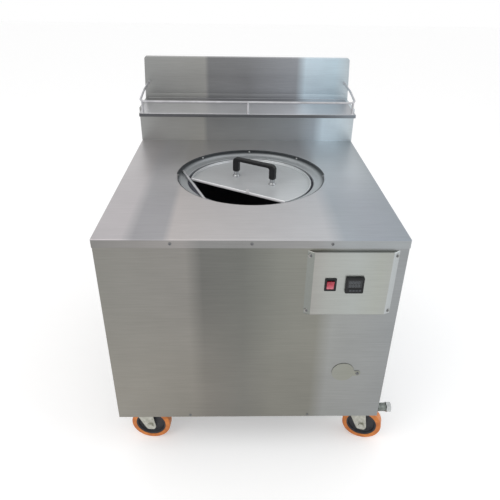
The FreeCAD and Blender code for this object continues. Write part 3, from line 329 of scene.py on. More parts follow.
moulded_black = grained(
    "moulded_black_abs", "#0d0e10", "#16171a", 0.8 * MM, 0.25, 0.42, Specular_IOR_Level=0.3,
)
black_nylon = grained("moulded_black_nylon", "#1d1e24", "#2a2b31", 1.2 * MM, 0.3, 0.5)
orange_tyre = grained(
    "cast_orange_polyurethane", "#bd6828", "#e0883c", 1.5 * MM, 0.2, 0.42, patch=25 * MM,
)
zinc_plate = grained(
    "bright_zinc_plate", "#a7a79c", "#c3c3bb", 1.0 * MM, 0.15, 0.36, patch=9 * MM, Metallic=0.85,
)
chrome_plate = grained("chrome_plate", "#96989a", "#adafb1", 2.0 * MM, 0.04, 0.2, Metallic=1.0)
screw_steel = grained(
    "turned_stainless", "#a3a4a4", "#c2c3c3", 0.7 * MM, 0.15, 0.28, patch=3 * MM, Metallic=1.0,
)
rod_steel = grained(
    "polished_stainless_rod", "#b2b2b5", "#c6c6c9", 1.0 * MM, 0.1, 0.34, patch=30 * MM,
    Metallic=0.7,
)
nut_plate = grained(
    "nickelled_brass", "#b0b3b3", "#c8cac9", 1.0 * MM, 0.2, 0.38, patch=6 * MM, Metallic=0.9,
)
galvanised = grained(
    "galvanised_pipe", "#666c68", "#868b87", 1.2 * MM, 0.3, 0.42, patch=8 * MM, Metallic=0.8,
)
dull_steel = grained(
    "weathered_screw_steel", "#656667", "#7e7f81", 0.7 * MM, 0.2, 0.45, patch=3 * MM, Metallic=0.8,
)
pipe_iron = grained(
    "black_iron_pipe", "#37383a", "#55565a", 1.4 * MM, 0.4, 0.5, patch=8 * MM, Metallic=0.7,
)
primed_iron = grained("primed_angle_iron", "#47484b", "#55565a", 2.0 * MM, 0.35, 0.6, patch=40 * MM)
bare_sheet = grained(
    "mill_steel_sheet", "#77787a", "#8f9091", 1.5 * MM, 0.2, 0.42, patch=60 * MM, Metallic=1.0,
)
print("small finishes made")

# %% [markdown]
# ## Fired clay, brick and wool
# A tandoor jar is hand-built from clay with grit and chopped straw in it, then dried and fired
# in use. Its wall is pale biscuit below and dark with soot at the mouth, where the smoke
# leaves. The soot follows height, so it is a ramp along Z, broken up by noise so that its edge
# licks up and down. The bricks under the jar and the wool round it hardly show, but they get
# their own grain too.

# %% Clay, brick, wool and ceramic
pot_low, pot_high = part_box("clay_pot")
SOOT_BEGINS, SOOT_FULL = 420 * MM, 190 * MM
GRIT, SOOT_LICK = 6 * MM, 70 * MM
fired_clay, clay_tree, clay_surface, clay_place = new_material("fired_clay_sooted", Roughness=0.9)
clay_height = add_node(clay_tree, "ShaderNodeSeparateXYZ", inputs={0: clay_place}).outputs["Z"]
grit = noise(clay_tree, clay_place, 1 / GRIT, 6.0, 0.7)
lick = noise(clay_tree, clay_place, 1 / SOOT_LICK, 3.0)
soot_height = remap(
    clay_tree, clay_height, pot_high.z - SOOT_BEGINS, pot_high.z - SOOT_FULL, high=1.4,
)
soot_edge = reckon(clay_tree, "MULTIPLY_ADD", lick, 0.6, -0.3)
soot = reckon(clay_tree, "ADD", soot_height, soot_edge, clamp=True)
biscuit = ramp(clay_tree, grit, [(0.35, "#8a6248"), (0.65, "#b58a68")])
smoked = ramp(clay_tree, grit, [(0.35, "#36363e"), (0.7, "#4a4a54")])
clay_tree.links.new(blend(clay_tree, soot, biscuit, smoked), clay_surface.inputs["Base Color"])
lift(clay_tree, clay_surface, grit, 0.5, 1.5 * MM)
fire_brick = grained("fireclay_brick", "#b39a72", "#cdb68c", 2.5 * MM, 0.6, 0.9, patch=35 * MM)
mineral_wool = grained(
    "loose_mineral_wool", "#9c8f6d", "#c0b38f", 4.0 * MM, 1.0, 0.95, patch=30 * MM,
)
white_ceramic = grained("glazed_ceramic", "#d8d5cb", "#e8e6df", 1.0 * MM, 0.05, 0.25)
print("clay from", round(pot_low.z, 3), "to", round(pot_high.z, 3))

# %% [markdown]
# ## Dressing the measured pieces that stay
# Many pieces of the frame already have their final form: the plain side panels, the vented
# back, the angle-iron frame and all that hides inside. They only get a finish, laid on the
# measured mesh. The pieces that show most are made again further down, with the rounded edges
# and small forms that catch the light.

# %% Finishes of the measured pieces
KEPT_FINISHES = {
    "left_side_panel": side_steel, "right_side_panel": side_steel, "rear_panel": rear_steel,
    "base_frame": primed_iron, "floor_plate": bare_sheet, "sight_tube": bare_sheet,
    "electrics_box": bare_sheet, "burner": pipe_iron, "thermocouple": bare_sheet,
    "gas_valve": pipe_iron, "burner_pipe": pipe_iron, "clay_pot": fired_clay,
    "hearth_bricks": fire_brick, "insulation_fill": mineral_wool, "spark_electrode": white_ceramic,
    "cable_gland": moulded_black, "castor_bolts": screw_steel,
}
for name, material in KEPT_FINISHES.items():
    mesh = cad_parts[name].data
    mesh.materials.clear()
    mesh.materials.append(material)
print(len(KEPT_FINISHES), "measured pieces dressed")

# %% [markdown]
# ## Tools for sheet metal
# A folded panel is a box with some sides missing, its corners bent at about the radius of the
# press brake's nose, and its wall one gauge thick. So the tools are: a box, a way to open
# sides, a bevel that rounds the folds, and a Solidify modifier that grows the wall inwards.
# Finishing a piece also gives it weighted normals, so that a wide flat face stays flat right up
# to a rounded fold.

# %% Sheet-metal tools
FOLD_RADIUS = 2.2 * MM
SMOOTH_ANGLE = math.radians(42)
EDGE_ANGLE = math.radians(50)


def new_box(low, high):
    """A bmesh box between two corners."""
    bm = bmesh.new()
    bmesh.ops.create_cube(bm, size=1.0)
    low, high = Vector(low), Vector(high)
    bmesh.ops.scale(bm, vec=high - low, verts=bm.verts)
    bmesh.ops.translate(bm, vec=(low + high) / 2, verts=bm.verts)
    return bm


def open_sides(bm, *directions):
    """Take away the faces that look in the given directions."""
    bm.normal_update()
    gone = [
        face for face in bm.faces
        if any(face.normal.dot(Vector(way)) > 0.99 for way in directions)
    ]
    bmesh.ops.delete(bm, geom=gone, context="FACES")


def folds(bm, degrees=25.0):
    """The edges where two faces meet at more than an angle."""
    bm.normal_update()
    limit = math.radians(degrees)
    return [
        edge for edge in bm.edges
        if len(edge.link_faces) == 2 and edge.calc_face_angle(0) > limit
    ]


def round_off(bm, edges, radius, segments=3):
    """Round edges by a radius in metres."""
    bmesh.ops.bevel(
        bm, geom=edges, offset=radius, offset_type="OFFSET", segments=segments, profile=0.5,
        affect="EDGES", material=-1, clamp_overlap=True,
    )


def finish_piece(bm, name, body, slot, material, replaced=(), wall=0.0, closed=True, edge=0.0):
    """Make a bmesh a piece that rides on a body, and hide the measured nodes that it stands for."""
    if closed:
        bmesh.ops.recalc_face_normals(bm, faces=bm.faces)
    mesh = bpy.data.meshes.new(name)
    bm.to_mesh(mesh)
    bm.free()
    mesh.shade_smooth()
    mesh.set_sharp_from_angle(angle=SMOOTH_ANGLE)
    for finish in material if isinstance(material, tuple) else (material,):
        mesh.materials.append(finish)
    piece = bpy.data.objects.new(name, mesh)
    bpy.context.scene.collection.objects.link(piece)
    if wall:
        thick = piece.modifiers.new("wall", "SOLIDIFY")
        thick.thickness = wall
        thick.offset = -1.0
        thick.use_even_offset = True
    if edge:
        soft = piece.modifiers.new("edge", "BEVEL")
        soft.width = edge
        soft.segments = 2
        soft.limit_method = "ANGLE"
        soft.angle_limit = EDGE_ANGLE
    normals = piece.modifiers.new("flat_faces", "WEIGHTED_NORMAL")
    normals.keep_sharp = True
    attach(piece, body)
    if replaced:
        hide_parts(*replaced)
    print("%-24s %6d faces" % (name, len(mesh.polygons)))
    return piece


def look_towards(bm, direction):
    """Turn an open sheet's faces so that its largest one looks in a direction."""
    bmesh.ops.recalc_face_normals(bm, faces=bm.faces)
    largest = max(bm.faces, key=lambda face: face.calc_area())
    if largest.normal.dot(Vector(direction)) < 0:
        bmesh.ops.reverse_faces(bm, faces=bm.faces)


def inner_face(bm, middle):
    """The face whose middle is nearest to a point."""
    return min(bm.faces, key=lambda face: (face.calc_center_median() - middle).length)


def score(bm, low, high, across, up):
    """Cut a sheet along four lines, so that one face fills the window between two corners."""
    for way in (Vector(across), Vector(up)):
        for corner in (low, high):
            fold_line(bm, corner, way)


def pierce(bm, centre, radius, margin, steps, across=(1, 0, 0), up=(0, 1, 0)):
    """Cut a round hole in a flat sheet: free a square and bridge its rim to a circle."""
    across, up = Vector(across), Vector(up)
    corner = (across + up) * margin
    score(bm, centre - corner, centre + corner, across, up)
    square = inner_face(bm, centre)
    border = square.edges[:]
    bmesh.ops.delete(bm, geom=[square], context="FACES_ONLY")
    bmesh.ops.subdivide_edges(bm, edges=border, cuts=steps // 4 - 1)

    def near(vert):
        away = vert.co - centre
        return max(abs(away.dot(across)), abs(away.dot(up))) < margin * 1.001

    rim = [edge for edge in bm.edges if edge.is_boundary and all(near(vert) for vert in edge.verts)]
    lay = Matrix((across, up, across.cross(up))).transposed().to_4x4()
    circle = bmesh.ops.create_circle(
        bm, segments=steps, radius=radius,
        matrix=Matrix.Translation(centre) @ lay @ Matrix.Rotation(math.radians(45), 4, "Z"),
    )["verts"]
    hole = list({edge for vert in circle for edge in vert.link_edges})
    bmesh.ops.bridge_loops(bm, edges=rim + hole)
    return hole


def parts_of(geometry, kind):
    """Only the BMVert or only the BMEdge items that an operator gave back."""
    return [item for item in geometry if isinstance(item, kind)]


def draw_out(bm, edges, way):
    """Draw edges along a way, as a flange."""
    made = bmesh.ops.extrude_edge_only(bm, edges=edges)["geom"]
    bmesh.ops.translate(bm, vec=way, verts=parts_of(made, bmesh.types.BMVert))


def fold_line(bm, spot, way):
    """Cut a new edge right across a sheet, where a plane through a spot meets it."""
    everything = bm.verts[:] + bm.edges[:] + bm.faces[:]
    bmesh.ops.bisect_plane(bm, geom=everything, plane_co=spot, plane_no=way)


def at(across, back, up):
    """A place in mm from the cabinet's middle line, its front face and the floor."""
    return Vector((MIDDLE + across * MM, FRONT + back * MM, up * MM))


# %% [markdown]
# ## Tools for turned, bent and moulded pieces
# A spun ring, a wheel or a screw head is a profile turned about an axis. A rod is a curve with
# a round section. A moulded grip or a chamfered nut is a stack of rings, each joined to the
# next. Corners are rounded after turning, because then one call rounds a whole ring and the
# radius stays exact.

# %% Turning, bending and lofting
NEARLY = 0.02 * MM


def turned(profile, steps=64, rounding=()):
    """Turn (radius, height) points in mm about Z; rounding is (point, radius, segments)."""
    bm = bmesh.new()
    points = [bm.verts.new((radius * MM, 0, height * MM)) for radius, height in profile]
    pairs = list(zip(points, points[1:]))
    if profile[0][0] or profile[-1][0]:
        pairs.append((points[-1], points[0]))
    lines = [bm.edges.new(pair) for pair in pairs]
    bmesh.ops.spin(
        bm, geom=points + lines, cent=(0, 0, 0), axis=(0, 0, 1), angle=2 * math.pi, steps=steps,
        use_merge=True,
    )
    bmesh.ops.remove_doubles(bm, verts=bm.verts, dist=0.001 * MM)
    bmesh.ops.recalc_face_normals(bm, faces=bm.faces)
    for (radius, height), size, segments in rounding:
        ring = [
            edge for edge in bm.edges
            if all(
                abs(vert.co.xy.length - radius * MM) < NEARLY
                and abs(vert.co.z - height * MM) < NEARLY
                for vert in edge.verts
            )
        ]
        round_off(bm, ring, size * MM, segments)
    return bm


def lofted(rings):
    """Join rings of equally many points, and close the first and the last."""
    bm = bmesh.new()
    rows = [[bm.verts.new(point) for point in ring] for ring in rings]
    for row, following in zip(rows, rows[1:]):
        for index in range(len(row)):
            ahead = (index + 1) % len(row)
            bm.faces.new((row[index], row[ahead], following[ahead], following[index]))
    bm.faces.new(rows[0])
    bm.faces.new(rows[-1])
    bmesh.ops.recalc_face_normals(bm, faces=bm.faces)
    return bm


def joined(pieces):
    """Put several bmeshes into one."""
    whole = bmesh.new()
    for piece in pieces:
        spare = bpy.data.meshes.new("spare")
        piece.to_mesh(spare)
        piece.free()
        whole.from_mesh(spare)
        bpy.data.meshes.remove(spare)
    return whole


def bent_rod(points, bends, radius, sides=16):
    """A round rod in metres through points, with a bend radius at each inner one."""
    spots = [(points[0], None)]
    for before, corner, after, bend in zip(points, points[1:], points[2:], bends):
        arrive, leave = (corner - before).normalized(), (after - corner).normalized()
        angle = arrive.angle(leave)
        reach = bend * math.tan(angle / 2)
        pull = 4 / 3 * math.tan(angle / 4) * bend
        spots.append((corner - arrive * reach, arrive * pull))
        spots.append((corner + leave * reach, leave * pull))
    spots.append((points[-1], None))
    curve = bpy.data.curves.new("rod", "CURVE")
    curve.dimensions = "3D"
    curve.bevel_depth = radius
    curve.bevel_resolution = sides // 4 - 2
    curve.resolution_u = 10
    curve.use_fill_caps = True
    spline = curve.splines.new("BEZIER")
    spline.bezier_points.add(len(spots) - 1)
    for index, (spot, pull) in enumerate(spots):
        knot = spline.bezier_points[index]
        knot.co = spot
        knot.handle_left_type = knot.handle_right_type = "FREE"
        arc_starts = pull is not None and index % 2 == 1
        arc_ends = pull is not None and index % 2 == 0
        before = spots[index - 1][0] if index else spot
        after = spots[index + 1][0] if index + 1 < len(spots) else spot
        knot.handle_left = spot - pull if arc_ends else spot.lerp(before, 1 / 3)
        knot.handle_right = spot + pull if arc_starts else spot.lerp(after, 1 / 3)
    shown = bpy.data.objects.new("rod", curve)
    mesh = bpy.data.meshes.new_from_object(shown)
    bm = bmesh.new()
    bm.from_mesh(mesh)
    bpy.data.objects.remove(shown)
    bpy.data.meshes.remove(mesh)
    bmesh.ops.remove_doubles(bm, verts=bm.verts, dist=0.005 * MM)
    return bm


def along(direction):
    """The turn that lays Z along a direction."""
    return Vector(direction).to_track_quat("Z", "Y").to_matrix().to_4x4()


def placed(bm, spot, direction=(0, 0, 1)):
    """Lay a piece's own Z along a direction and move its origin to a spot."""
    bm.transform(Matrix.Translation(spot) @ along(direction))
    return bm

# %% [markdown]
# ## Table top and the ring in its mouth
# The top is one sheet, folded down 25 mm all round. The mouth is a hole whose edge is drawn
# down into a short collar, so the hand meets a soft bend there and not a raw edge. A spun ring
# hangs inside it and ends in a ledge. Its wide inner bend makes the bright crescent round the
# lid, with painted light: the ring is painted light low down at its ledge and dark at the top of
# its wall as painted shade, and the far half of the mouth's bend in the top takes the same dark
# painted shade.

# %% Table top and mouth ring
TOP_LIP = 25 * MM
COLLAR = 14 * MM
HOLE_STEPS = 96
MOUTH_BEND = 4 * MM
TOP_FOLD = 3.4 * MM
bm = new_box((LEFT, FRONT, DECK - TOP_LIP), (RIGHT, BACK, DECK))
open_sides(bm, (0, 0, -1))
mouth_edge = pierce(bm, MOUTH, HOLE_RADIUS, HOLE_RADIUS + 14 * MM, HOLE_STEPS)
draw_out(bm, mouth_edge, Vector((0, 0, -COLLAR)))
mouth_bend = [
    edge for edge in folds(bm)
    if (edge.verts[0].co.xy - MOUTH.xy).length < HOLE_RADIUS + MM
]
round_off(bm, mouth_bend, MOUTH_BEND, 5)
round_off(bm, [edge for edge in folds(bm, 60) if edge.is_valid], TOP_FOLD, 4)
look_towards(bm, (0, 0, 1))
# Painted shade: the far half of the mouth's bend takes the ring's dark upper tone; the turned-down
# lip takes the lip's bands.
for face in bm.faces:
    spot = face.calc_center_median()
    if spot.y > MOUTH.y and (spot.xy - MOUTH.xy).length < HOLE_RADIUS + MOUTH_BEND - 0.4 * MM:
        face.material_index = 2
    elif abs(face.normal.z) < 0.5 and spot.z < DECK - TOP_FOLD:
        face.material_index = 1
finish_piece(
    bm, "table_top_sheet", "cabinet", "cabinet_steel", (top_steel, lip_steel, ring_steel),
    ("table_top",), wall=GAUGE, closed=False,
)

ring_wall = HOLE_RADIUS / MM - 1.5
RING_OUTSIDE = HOLE_RADIUS / MM - 0.1
LEDGE = -18
LEDGE_INSIDE = 203
RING_FOOT = -26
ring = turned(
    [
        (ring_wall, -2), (ring_wall, LEDGE), (LEDGE_INSIDE, LEDGE), (LEDGE_INSIDE, RING_FOOT),
        (LEDGE_INSIDE + 1.5, RING_FOOT), (LEDGE_INSIDE + 1.5, LEDGE - 1.5),
        (RING_OUTSIDE, LEDGE - 1.5), (RING_OUTSIDE, -2),
    ],
    HOLE_STEPS,
    [
        ((ring_wall, LEDGE), 10.5, 8), ((RING_OUTSIDE, LEDGE - 1.5), 12, 8),
        ((LEDGE_INSIDE, LEDGE), 1.5, 3), ((ring_wall, -2), 0.5, 2),
    ],
)
finish_piece(
    placed(ring, MOUTH), "mouth_ring_spun", "cabinet", "ring_steel", ring_steel, ("mouth_ring",),
)

# %% [markdown]
# ## Front panel
# The front is a shallow tray: its two sides fold back 20 mm and screw to the frame. A round
# peephole near its right edge looks at the burner. Behind the raised control panel the sheet is
# cut away. Both openings are cut in the flat sheet before it gets its thickness, as a punch
# would do it; a boolean on the finished tray would leave long thin triangles.

# %% Front panel
SKIN_HALF = 398.5
SKIN_FRONT, SKIN_BACK = 1.5, 21.5
SKIN_FOOT, SKIN_TOP = 158, 780.5
WINDOW_LOW, WINDOW_HIGH = (157, 570), (359.5, 734.5)
PEEP = (272, 341)
PEEP_RADIUS = 27 * MM
bm = new_box(at(-SKIN_HALF, SKIN_FRONT, SKIN_FOOT), at(SKIN_HALF, SKIN_BACK, SKIN_TOP))
open_sides(bm, (0, 1, 0), (0, 0, 1), (0, 0, -1))
round_off(bm, folds(bm), FOLD_RADIUS)
upright = ((1, 0, 0), (0, 0, 1))
window_low, window_high = (at(x, SKIN_FRONT, z) for x, z in (WINDOW_LOW, WINDOW_HIGH))
score(bm, window_low, window_high, *upright)
bmesh.ops.delete(bm, geom=[inner_face(bm, (window_low + window_high) / 2)], context="FACES")
pierce(bm, at(PEEP[0], SKIN_FRONT, PEEP[1]), PEEP_RADIUS, PEEP_RADIUS * 1.25, 48, *upright)
look_towards(bm, (0, -1, 0))
finish_piece(
    bm, "front_panel_sheet", "cabinet", "cabinet_steel", front_steel, ("front_panel",), wall=GAUGE,
    closed=False,
)

# %% [markdown]
# ## Riser, shelf and splash panel
# Behind the mouth stands a box with the shelf on it. The shelf reaches forward over the table,
# its edges turned down 12 mm, but it lies flat where it rests on the box, and a low upstand
# closes it against the splash panel. The splash panel is folded all round and its top corners
# are cut. All three start as open shells and grow inwards, so their outsides stay at the
# measured size.

# %% Riser, shelf and splash panel
SHELF = 906
RISER_FRONT = 789
SHELF_HALF = 386
SHELF_FRONT = 700
SPLASH_FRONT = 930
SPLASH_TOP = 1059
bm = new_box(at(-HALF_WIDTH, RISER_FRONT, DECK / MM), at(HALF_WIDTH, DEPTH, SHELF - SHEET))
open_sides(bm, (0, 0, -1))
round_off(bm, folds(bm), FOLD_RADIUS)
look_towards(bm, (0, 0, 1))
finish_piece(
    bm, "riser_box", "cabinet", "cabinet_steel", riser_steel, ("rear_riser",), wall=GAUGE,
    closed=False,
)

SHELF_BACK = SPLASH_FRONT - 1.6
SHELF_LIP, UPSTAND = 12, 20
bm = new_box(at(-SHELF_HALF, SHELF_FRONT, SHELF - SHELF_LIP), at(SHELF_HALF, SHELF_BACK, SHELF))
open_sides(bm, (0, 0, -1), (0, 1, 0))
rear_edge = [
    edge for edge in bm.edges
    if all(
        vert.co.y > at(0, SHELF_BACK - 1, 0).y and vert.co.z > (SHELF - 1) * MM
        for vert in edge.verts
    )
]
draw_out(bm, rear_edge, (0, 0, UPSTAND * MM))
seam = at(0, RISER_FRONT - 0.3, 0)
fold_line(bm, seam, (0, 1, 0))
bm.normal_update()
rear_lips = [
    face for face in bm.faces if abs(face.normal.x) > 0.9 and face.calc_center_median().y > seam.y
]
bmesh.ops.delete(bm, geom=rear_lips, context="FACES")
round_off(bm, folds(bm), FOLD_RADIUS)
look_towards(bm, (0, 0, 1))
# Painted shade on the shelf's front lip faces; the upstand's front face takes the splash panel's
# bands.
for face in bm.faces:
    if face.normal.y < -0.75:
        face.material_index = 1 if face.calc_center_median().z < SHELF * MM else 2
finish_piece(
    bm, "shelf_sheet", "cabinet", "cabinet_steel", (shelf_steel, painted_shade_steel, splash_steel),
    ("shelf",), wall=GAUGE, closed=False,
)

splash_foot = SHELF - SHEET
outline = [
    (-398, splash_foot), (398, splash_foot), (391, SPLASH_TOP - 5), (387, SPLASH_TOP),
    (-387, SPLASH_TOP), (-391, SPLASH_TOP - 5),
]
bm = bmesh.new()
bm.faces.new([bm.verts.new(at(x, SPLASH_FRONT, z)) for x, z in outline])
rim = [edge for edge in bm.edges if max(vert.co.z for vert in edge.verts) > (splash_foot + 1) * MM]
draw_out(bm, rim, at(0, DEPTH, 0) - at(0, SPLASH_FRONT, 0))
round_off(bm, folds(bm), 1.8 * MM)
look_towards(bm, (0, -1, 0))
finish_piece(
    bm, "splash_sheet", "cabinet", "cabinet_steel", splash_steel, ("splash_panel",), wall=GAUGE,
    closed=False,
)

# %% [markdown]
# ## Guard rail
# A rod of 8 mm stainless is bent round the shelf's front and runs back, rising to the splash
# panel, and three short posts carry it. A curve with a round section could be made for it by
# sweeping rings, but a Bezier curve with a bevel bends as a rod does in a bender, on true arcs.
# Each end sits on a small weld bead.

# %% Guard rail
ROD = 4 * MM
RAIL_X = SHELF_HALF - 6
RAIL_Y = SHELF_FRONT + 6
RAIL_Z = SHELF + 40
GUARD_Z = SHELF + 61
WELD = 5.4
GENTLE_BEND, TIGHT_BEND = 160 * MM, 22 * MM
ARCH_Y, ARCH_Z = 810, RAIL_Z + 17
rail_rod = bent_rod(
    [
        at(-RAIL_X, SPLASH_FRONT, GUARD_Z), at(-RAIL_X, ARCH_Y, ARCH_Z),
        at(-RAIL_X, RAIL_Y, RAIL_Z),
        at(RAIL_X, RAIL_Y, RAIL_Z), at(RAIL_X, ARCH_Y, ARCH_Z), at(RAIL_X, SPLASH_FRONT, GUARD_Z),
    ],
    [GENTLE_BEND, TIGHT_BEND, TIGHT_BEND, GENTLE_BEND], ROD,
)


def weld_bead(spot, direction=(0, 0, 1)):
    """A low ring of weld metal round the foot of a rod."""
    bead = turned([(0, 0), (WELD, 0), (WELD - 0.9, 1.2), (4, 2.1), (0, 2.1)], 20)
    return placed(bead, spot, direction)


rail_parts = [rail_rod]
for post_x in (-SHELF_HALF + 14, 0, SHELF_HALF - 14):
    post_foot = at(post_x, RAIL_Y, SHELF)
    rail_parts.append(bent_rod([post_foot, at(post_x, RAIL_Y, RAIL_Z)], [], ROD))
    rail_parts.append(weld_bead(post_foot))
for end_x in (-RAIL_X, RAIL_X):
    rail_parts.append(weld_bead(at(end_x, SPLASH_FRONT, GUARD_Z - 0.3), (0, -1, 0)))
finish_piece(
    joined(rail_parts), "guard_rail", "cabinet", "rod_steel", rod_steel, ("shelf_rail",),
)

# %% [markdown]
# ## Lid
# The lid is a shallow pan, cut straight along one side. Its rim turns up 10 mm and curls over
# into a small hem that hides the raw edge. So its section is drawn once, as steps inwards and
# upwards, and carried round the D-shaped outline; a full spin would only make a round lid. A
# small tab stands on the straight side. Along the straight side, faces that look outwards are
# painted near white as a painted highlight, and faces that look inwards are painted dark as
# painted shade.

# %% Lid pan
LID_RADIUS = 194
LID_FLAT = 92
LID_TURN = math.radians(-31.7)
LID_FORWARD, LID_HEIGHT = 7, 756.3
lid_centre = Vector((MOUTH.x, MOUTH.y - LID_FORWARD * MM, LID_HEIGHT * MM))
lid_place = Matrix.Translation(lid_centre) @ Matrix.Rotation(LID_TURN, 4, "Z")
ARC_STEPS = 100
FLAT_STEPS = 24


def lid_ring(inset, height):
    """The lid's outline, drawn in by an inset, at a height; all in mm."""
    radius, flat = LID_RADIUS - inset, LID_FLAT - inset
    corner = math.sqrt(radius ** 2 - flat ** 2)
    start = math.atan2(-flat, corner)
    sweep = math.pi - 2 * start
    points = []
    for step in range(ARC_STEPS + 1):
        angle = start + sweep * step / ARC_STEPS
        points.append(Vector((radius * math.cos(angle), radius * math.sin(angle), height)) * MM)
    for step in range(1, FLAT_STEPS):
        points.append(Vector((-corner + 2 * corner * step / FLAT_STEPS, -flat, height)) * MM)
    return points


LID_SECTION = [
    (9, 0), (5, 0), (2.2, 0.7), (0.7, 2.2), (0, 5), (0, 7.6), (0.35, 9.1), (1.5, 10), (2.9, 10),
    (4, 9.2), (4.3, 8), (3.7, 6.9), (2.6, 6.5), (1.6, 6.3), (1.5, 5), (2.2, 3.2), (3.4, 2),
    (5.6, 1.5), (9, 1.5),
]
pan = lofted([lid_ring(*step) for step in LID_SECTION])
TAB_LOW, TAB_HIGH = (38, -LID_FLAT, 5), (48, -LID_FLAT + SHEET, 20)
tab = new_box(Vector(TAB_LOW) * MM, Vector(TAB_HIGH) * MM)
tab_top = [
    edge for edge in tab.edges
    if abs(edge.verts[0].co.x - edge.verts[1].co.x) < MM
    and min(vert.co.z for vert in edge.verts) > (TAB_HIGH[2] - 1) * MM
]
round_off(tab, tab_top, 2.5 * MM, 4)
pan = joined([pan, tab])
bmesh.ops.recalc_face_normals(pan, faces=pan.faces)
HEM_REACH = 8
# Painted light and shade along the straight side: outward faces get the near-white steel, inward
# faces the dark steel.
for face in pan.faces:
    if face.calc_center_median().y < (HEM_REACH - LID_FLAT) * MM and abs(face.normal.y) > 0.5:
        face.material_index = 1 if face.normal.y < 0 else 2
pan.transform(lid_place)
finish_piece(
    pan, "lid_sheet", "lid", "lid_steel", (lid_steel, hem_painted_light_steel, painted_shade_steel), ("lid_pan",),
)

# %% [markdown]
# ## Lid grip
# The grip is one moulding of black plastic on two chromed feet. It is flat from front to back,
# so its outline is drawn once, as seen from the front, and pushed through its thickness; then
# every long edge gets the same radius. Rings joined along a path would twist at the tight inner
# corners.

# %% Lid grip and its feet
HANDLE_BACK = 21
HALF_SPAN = 67.5
LID_FLOOR = 1.5
FOOT_TOP = 18
feet = []
for side in (-1, 1):
    foot = turned(
        [(0, 0), (12, 0), (12, 2.5), (8.5, 5), (8.5, FOOT_TOP), (0, FOOT_TOP)], 40,
        [((12, 2.5), 1.0, 3), ((8.5, 5), 2.5, 4)],
    )
    feet.append(placed(foot, Vector((side * HALF_SPAN, HANDLE_BACK, LID_FLOOR)) * MM))
feet = joined(feet)
feet.transform(lid_place)
finish_piece(feet, "lid_feet_chrome", "lid", "chrome", chrome_plate, ("lid_handle_feet",))


def corner_arc(centre_x, centre_z, radius, start, finish, steps):
    """Points of an arc in the XZ plane, angles in degrees."""
    return [
        (
            centre_x + radius * math.cos(math.radians(start + (finish - start) * step / steps)),
            centre_z + radius * math.sin(math.radians(start + (finish - start) * step / steps)),
        )
        for step in range(steps + 1)
    ]


POST_OUT, POST_IN = HALF_SPAN + 10, HALF_SPAN - 10
GRIP_TOP, GRIP_UNDER = 65, 53
GRIP_THICK = 17
SHOULDER, ARMPIT = 14, 6
grip_side = (
    [(POST_IN, FOOT_TOP), (POST_OUT, FOOT_TOP)]
    + corner_arc(POST_OUT - SHOULDER, GRIP_TOP - SHOULDER, SHOULDER, 0, 90, 8)
)
grip_line = grip_side + [(-x, z) for x, z in reversed(grip_side)]
grip_line += corner_arc(-POST_IN + ARMPIT, GRIP_UNDER - ARMPIT, ARMPIT, 180, 90, 5)
grip_line += corner_arc(POST_IN - ARMPIT, GRIP_UNDER - ARMPIT, ARMPIT, 90, 0, 5)
bm = bmesh.new()
face = bm.faces.new([
    bm.verts.new(Vector((x, HANDLE_BACK - GRIP_THICK / 2, z + LID_FLOOR)) * MM)
    for x, z in grip_line
])
grown = bmesh.ops.extrude_face_region(bm, geom=[face])["geom"]
bmesh.ops.translate(bm, vec=(0, GRIP_THICK * MM, 0), verts=parts_of(grown, bmesh.types.BMVert))
bmesh.ops.recalc_face_normals(bm, faces=bm.faces)
round_off(bm, folds(bm, 60), 3.2 * MM, 4)
bm.transform(lid_place)
finish_piece(bm, "lid_grip_moulded", "lid", "black_plastic", moulded_black, ("lid_grip",))

# %% [markdown]
# ## Skewer rest
# A plain straight rod lies across the mouth's left side. It is turned about its own length,
# like a bar in a lathe, because that rounds both ends at once, and then laid where the measured
# rod lies.

# %% Skewer rest
REST_HALF = 126.5
REST_RADIUS = ROD / MM
rest = turned(
    [(0, -REST_HALF), (REST_RADIUS, -REST_HALF), (REST_RADIUS, REST_HALF), (0, REST_HALF)], 24,
    [((REST_RADIUS, -REST_HALF), 1.5, 3), ((REST_RADIUS, REST_HALF), 1.5, 3)],
)
rest_line = Vector((0.348, -0.9375, 0)).normalized()
rest_low, rest_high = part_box("skewer_rest")
finish_piece(
    placed(rest, (rest_low + rest_high) / 2, rest_line), "skewer_rest_rod", "skewer_rest",
    "rod_steel", rod_steel, ("skewer_rest",),
)

# %% [markdown]
# ## Raised control panel
# The control panel is pressed, not cut flat: its edges slope down to the front sheet, wide at
# the sides and almost square above and below. The slopes carry painted light and shade: those
# that look left are painted a darker steel and those that look right a lighter one, and that
# alone makes it read as raised. Each corner is pressed back to a small round land for its
# screw, and two windows take the switch and the controller. All of that is cut from one shell,
# so every edge has the sheet's real thickness.

# %% Control panel
PANEL_SIDES = (141, 375.5)
PANEL_ENDS = (554, 750.5)
PANEL_FOOT = 1.5
PANEL_FACE = -8.5
SIDE_SLOPE, END_SLOPE = 17, 2
LAND_FACE = -3.2
LAND_RADIUS = 6.5
SWITCH = (205, 654)
SWITCH_HOLE = (28.6, 34)
METER = (267.5, 654)
METER_HOLE = (45, 45)


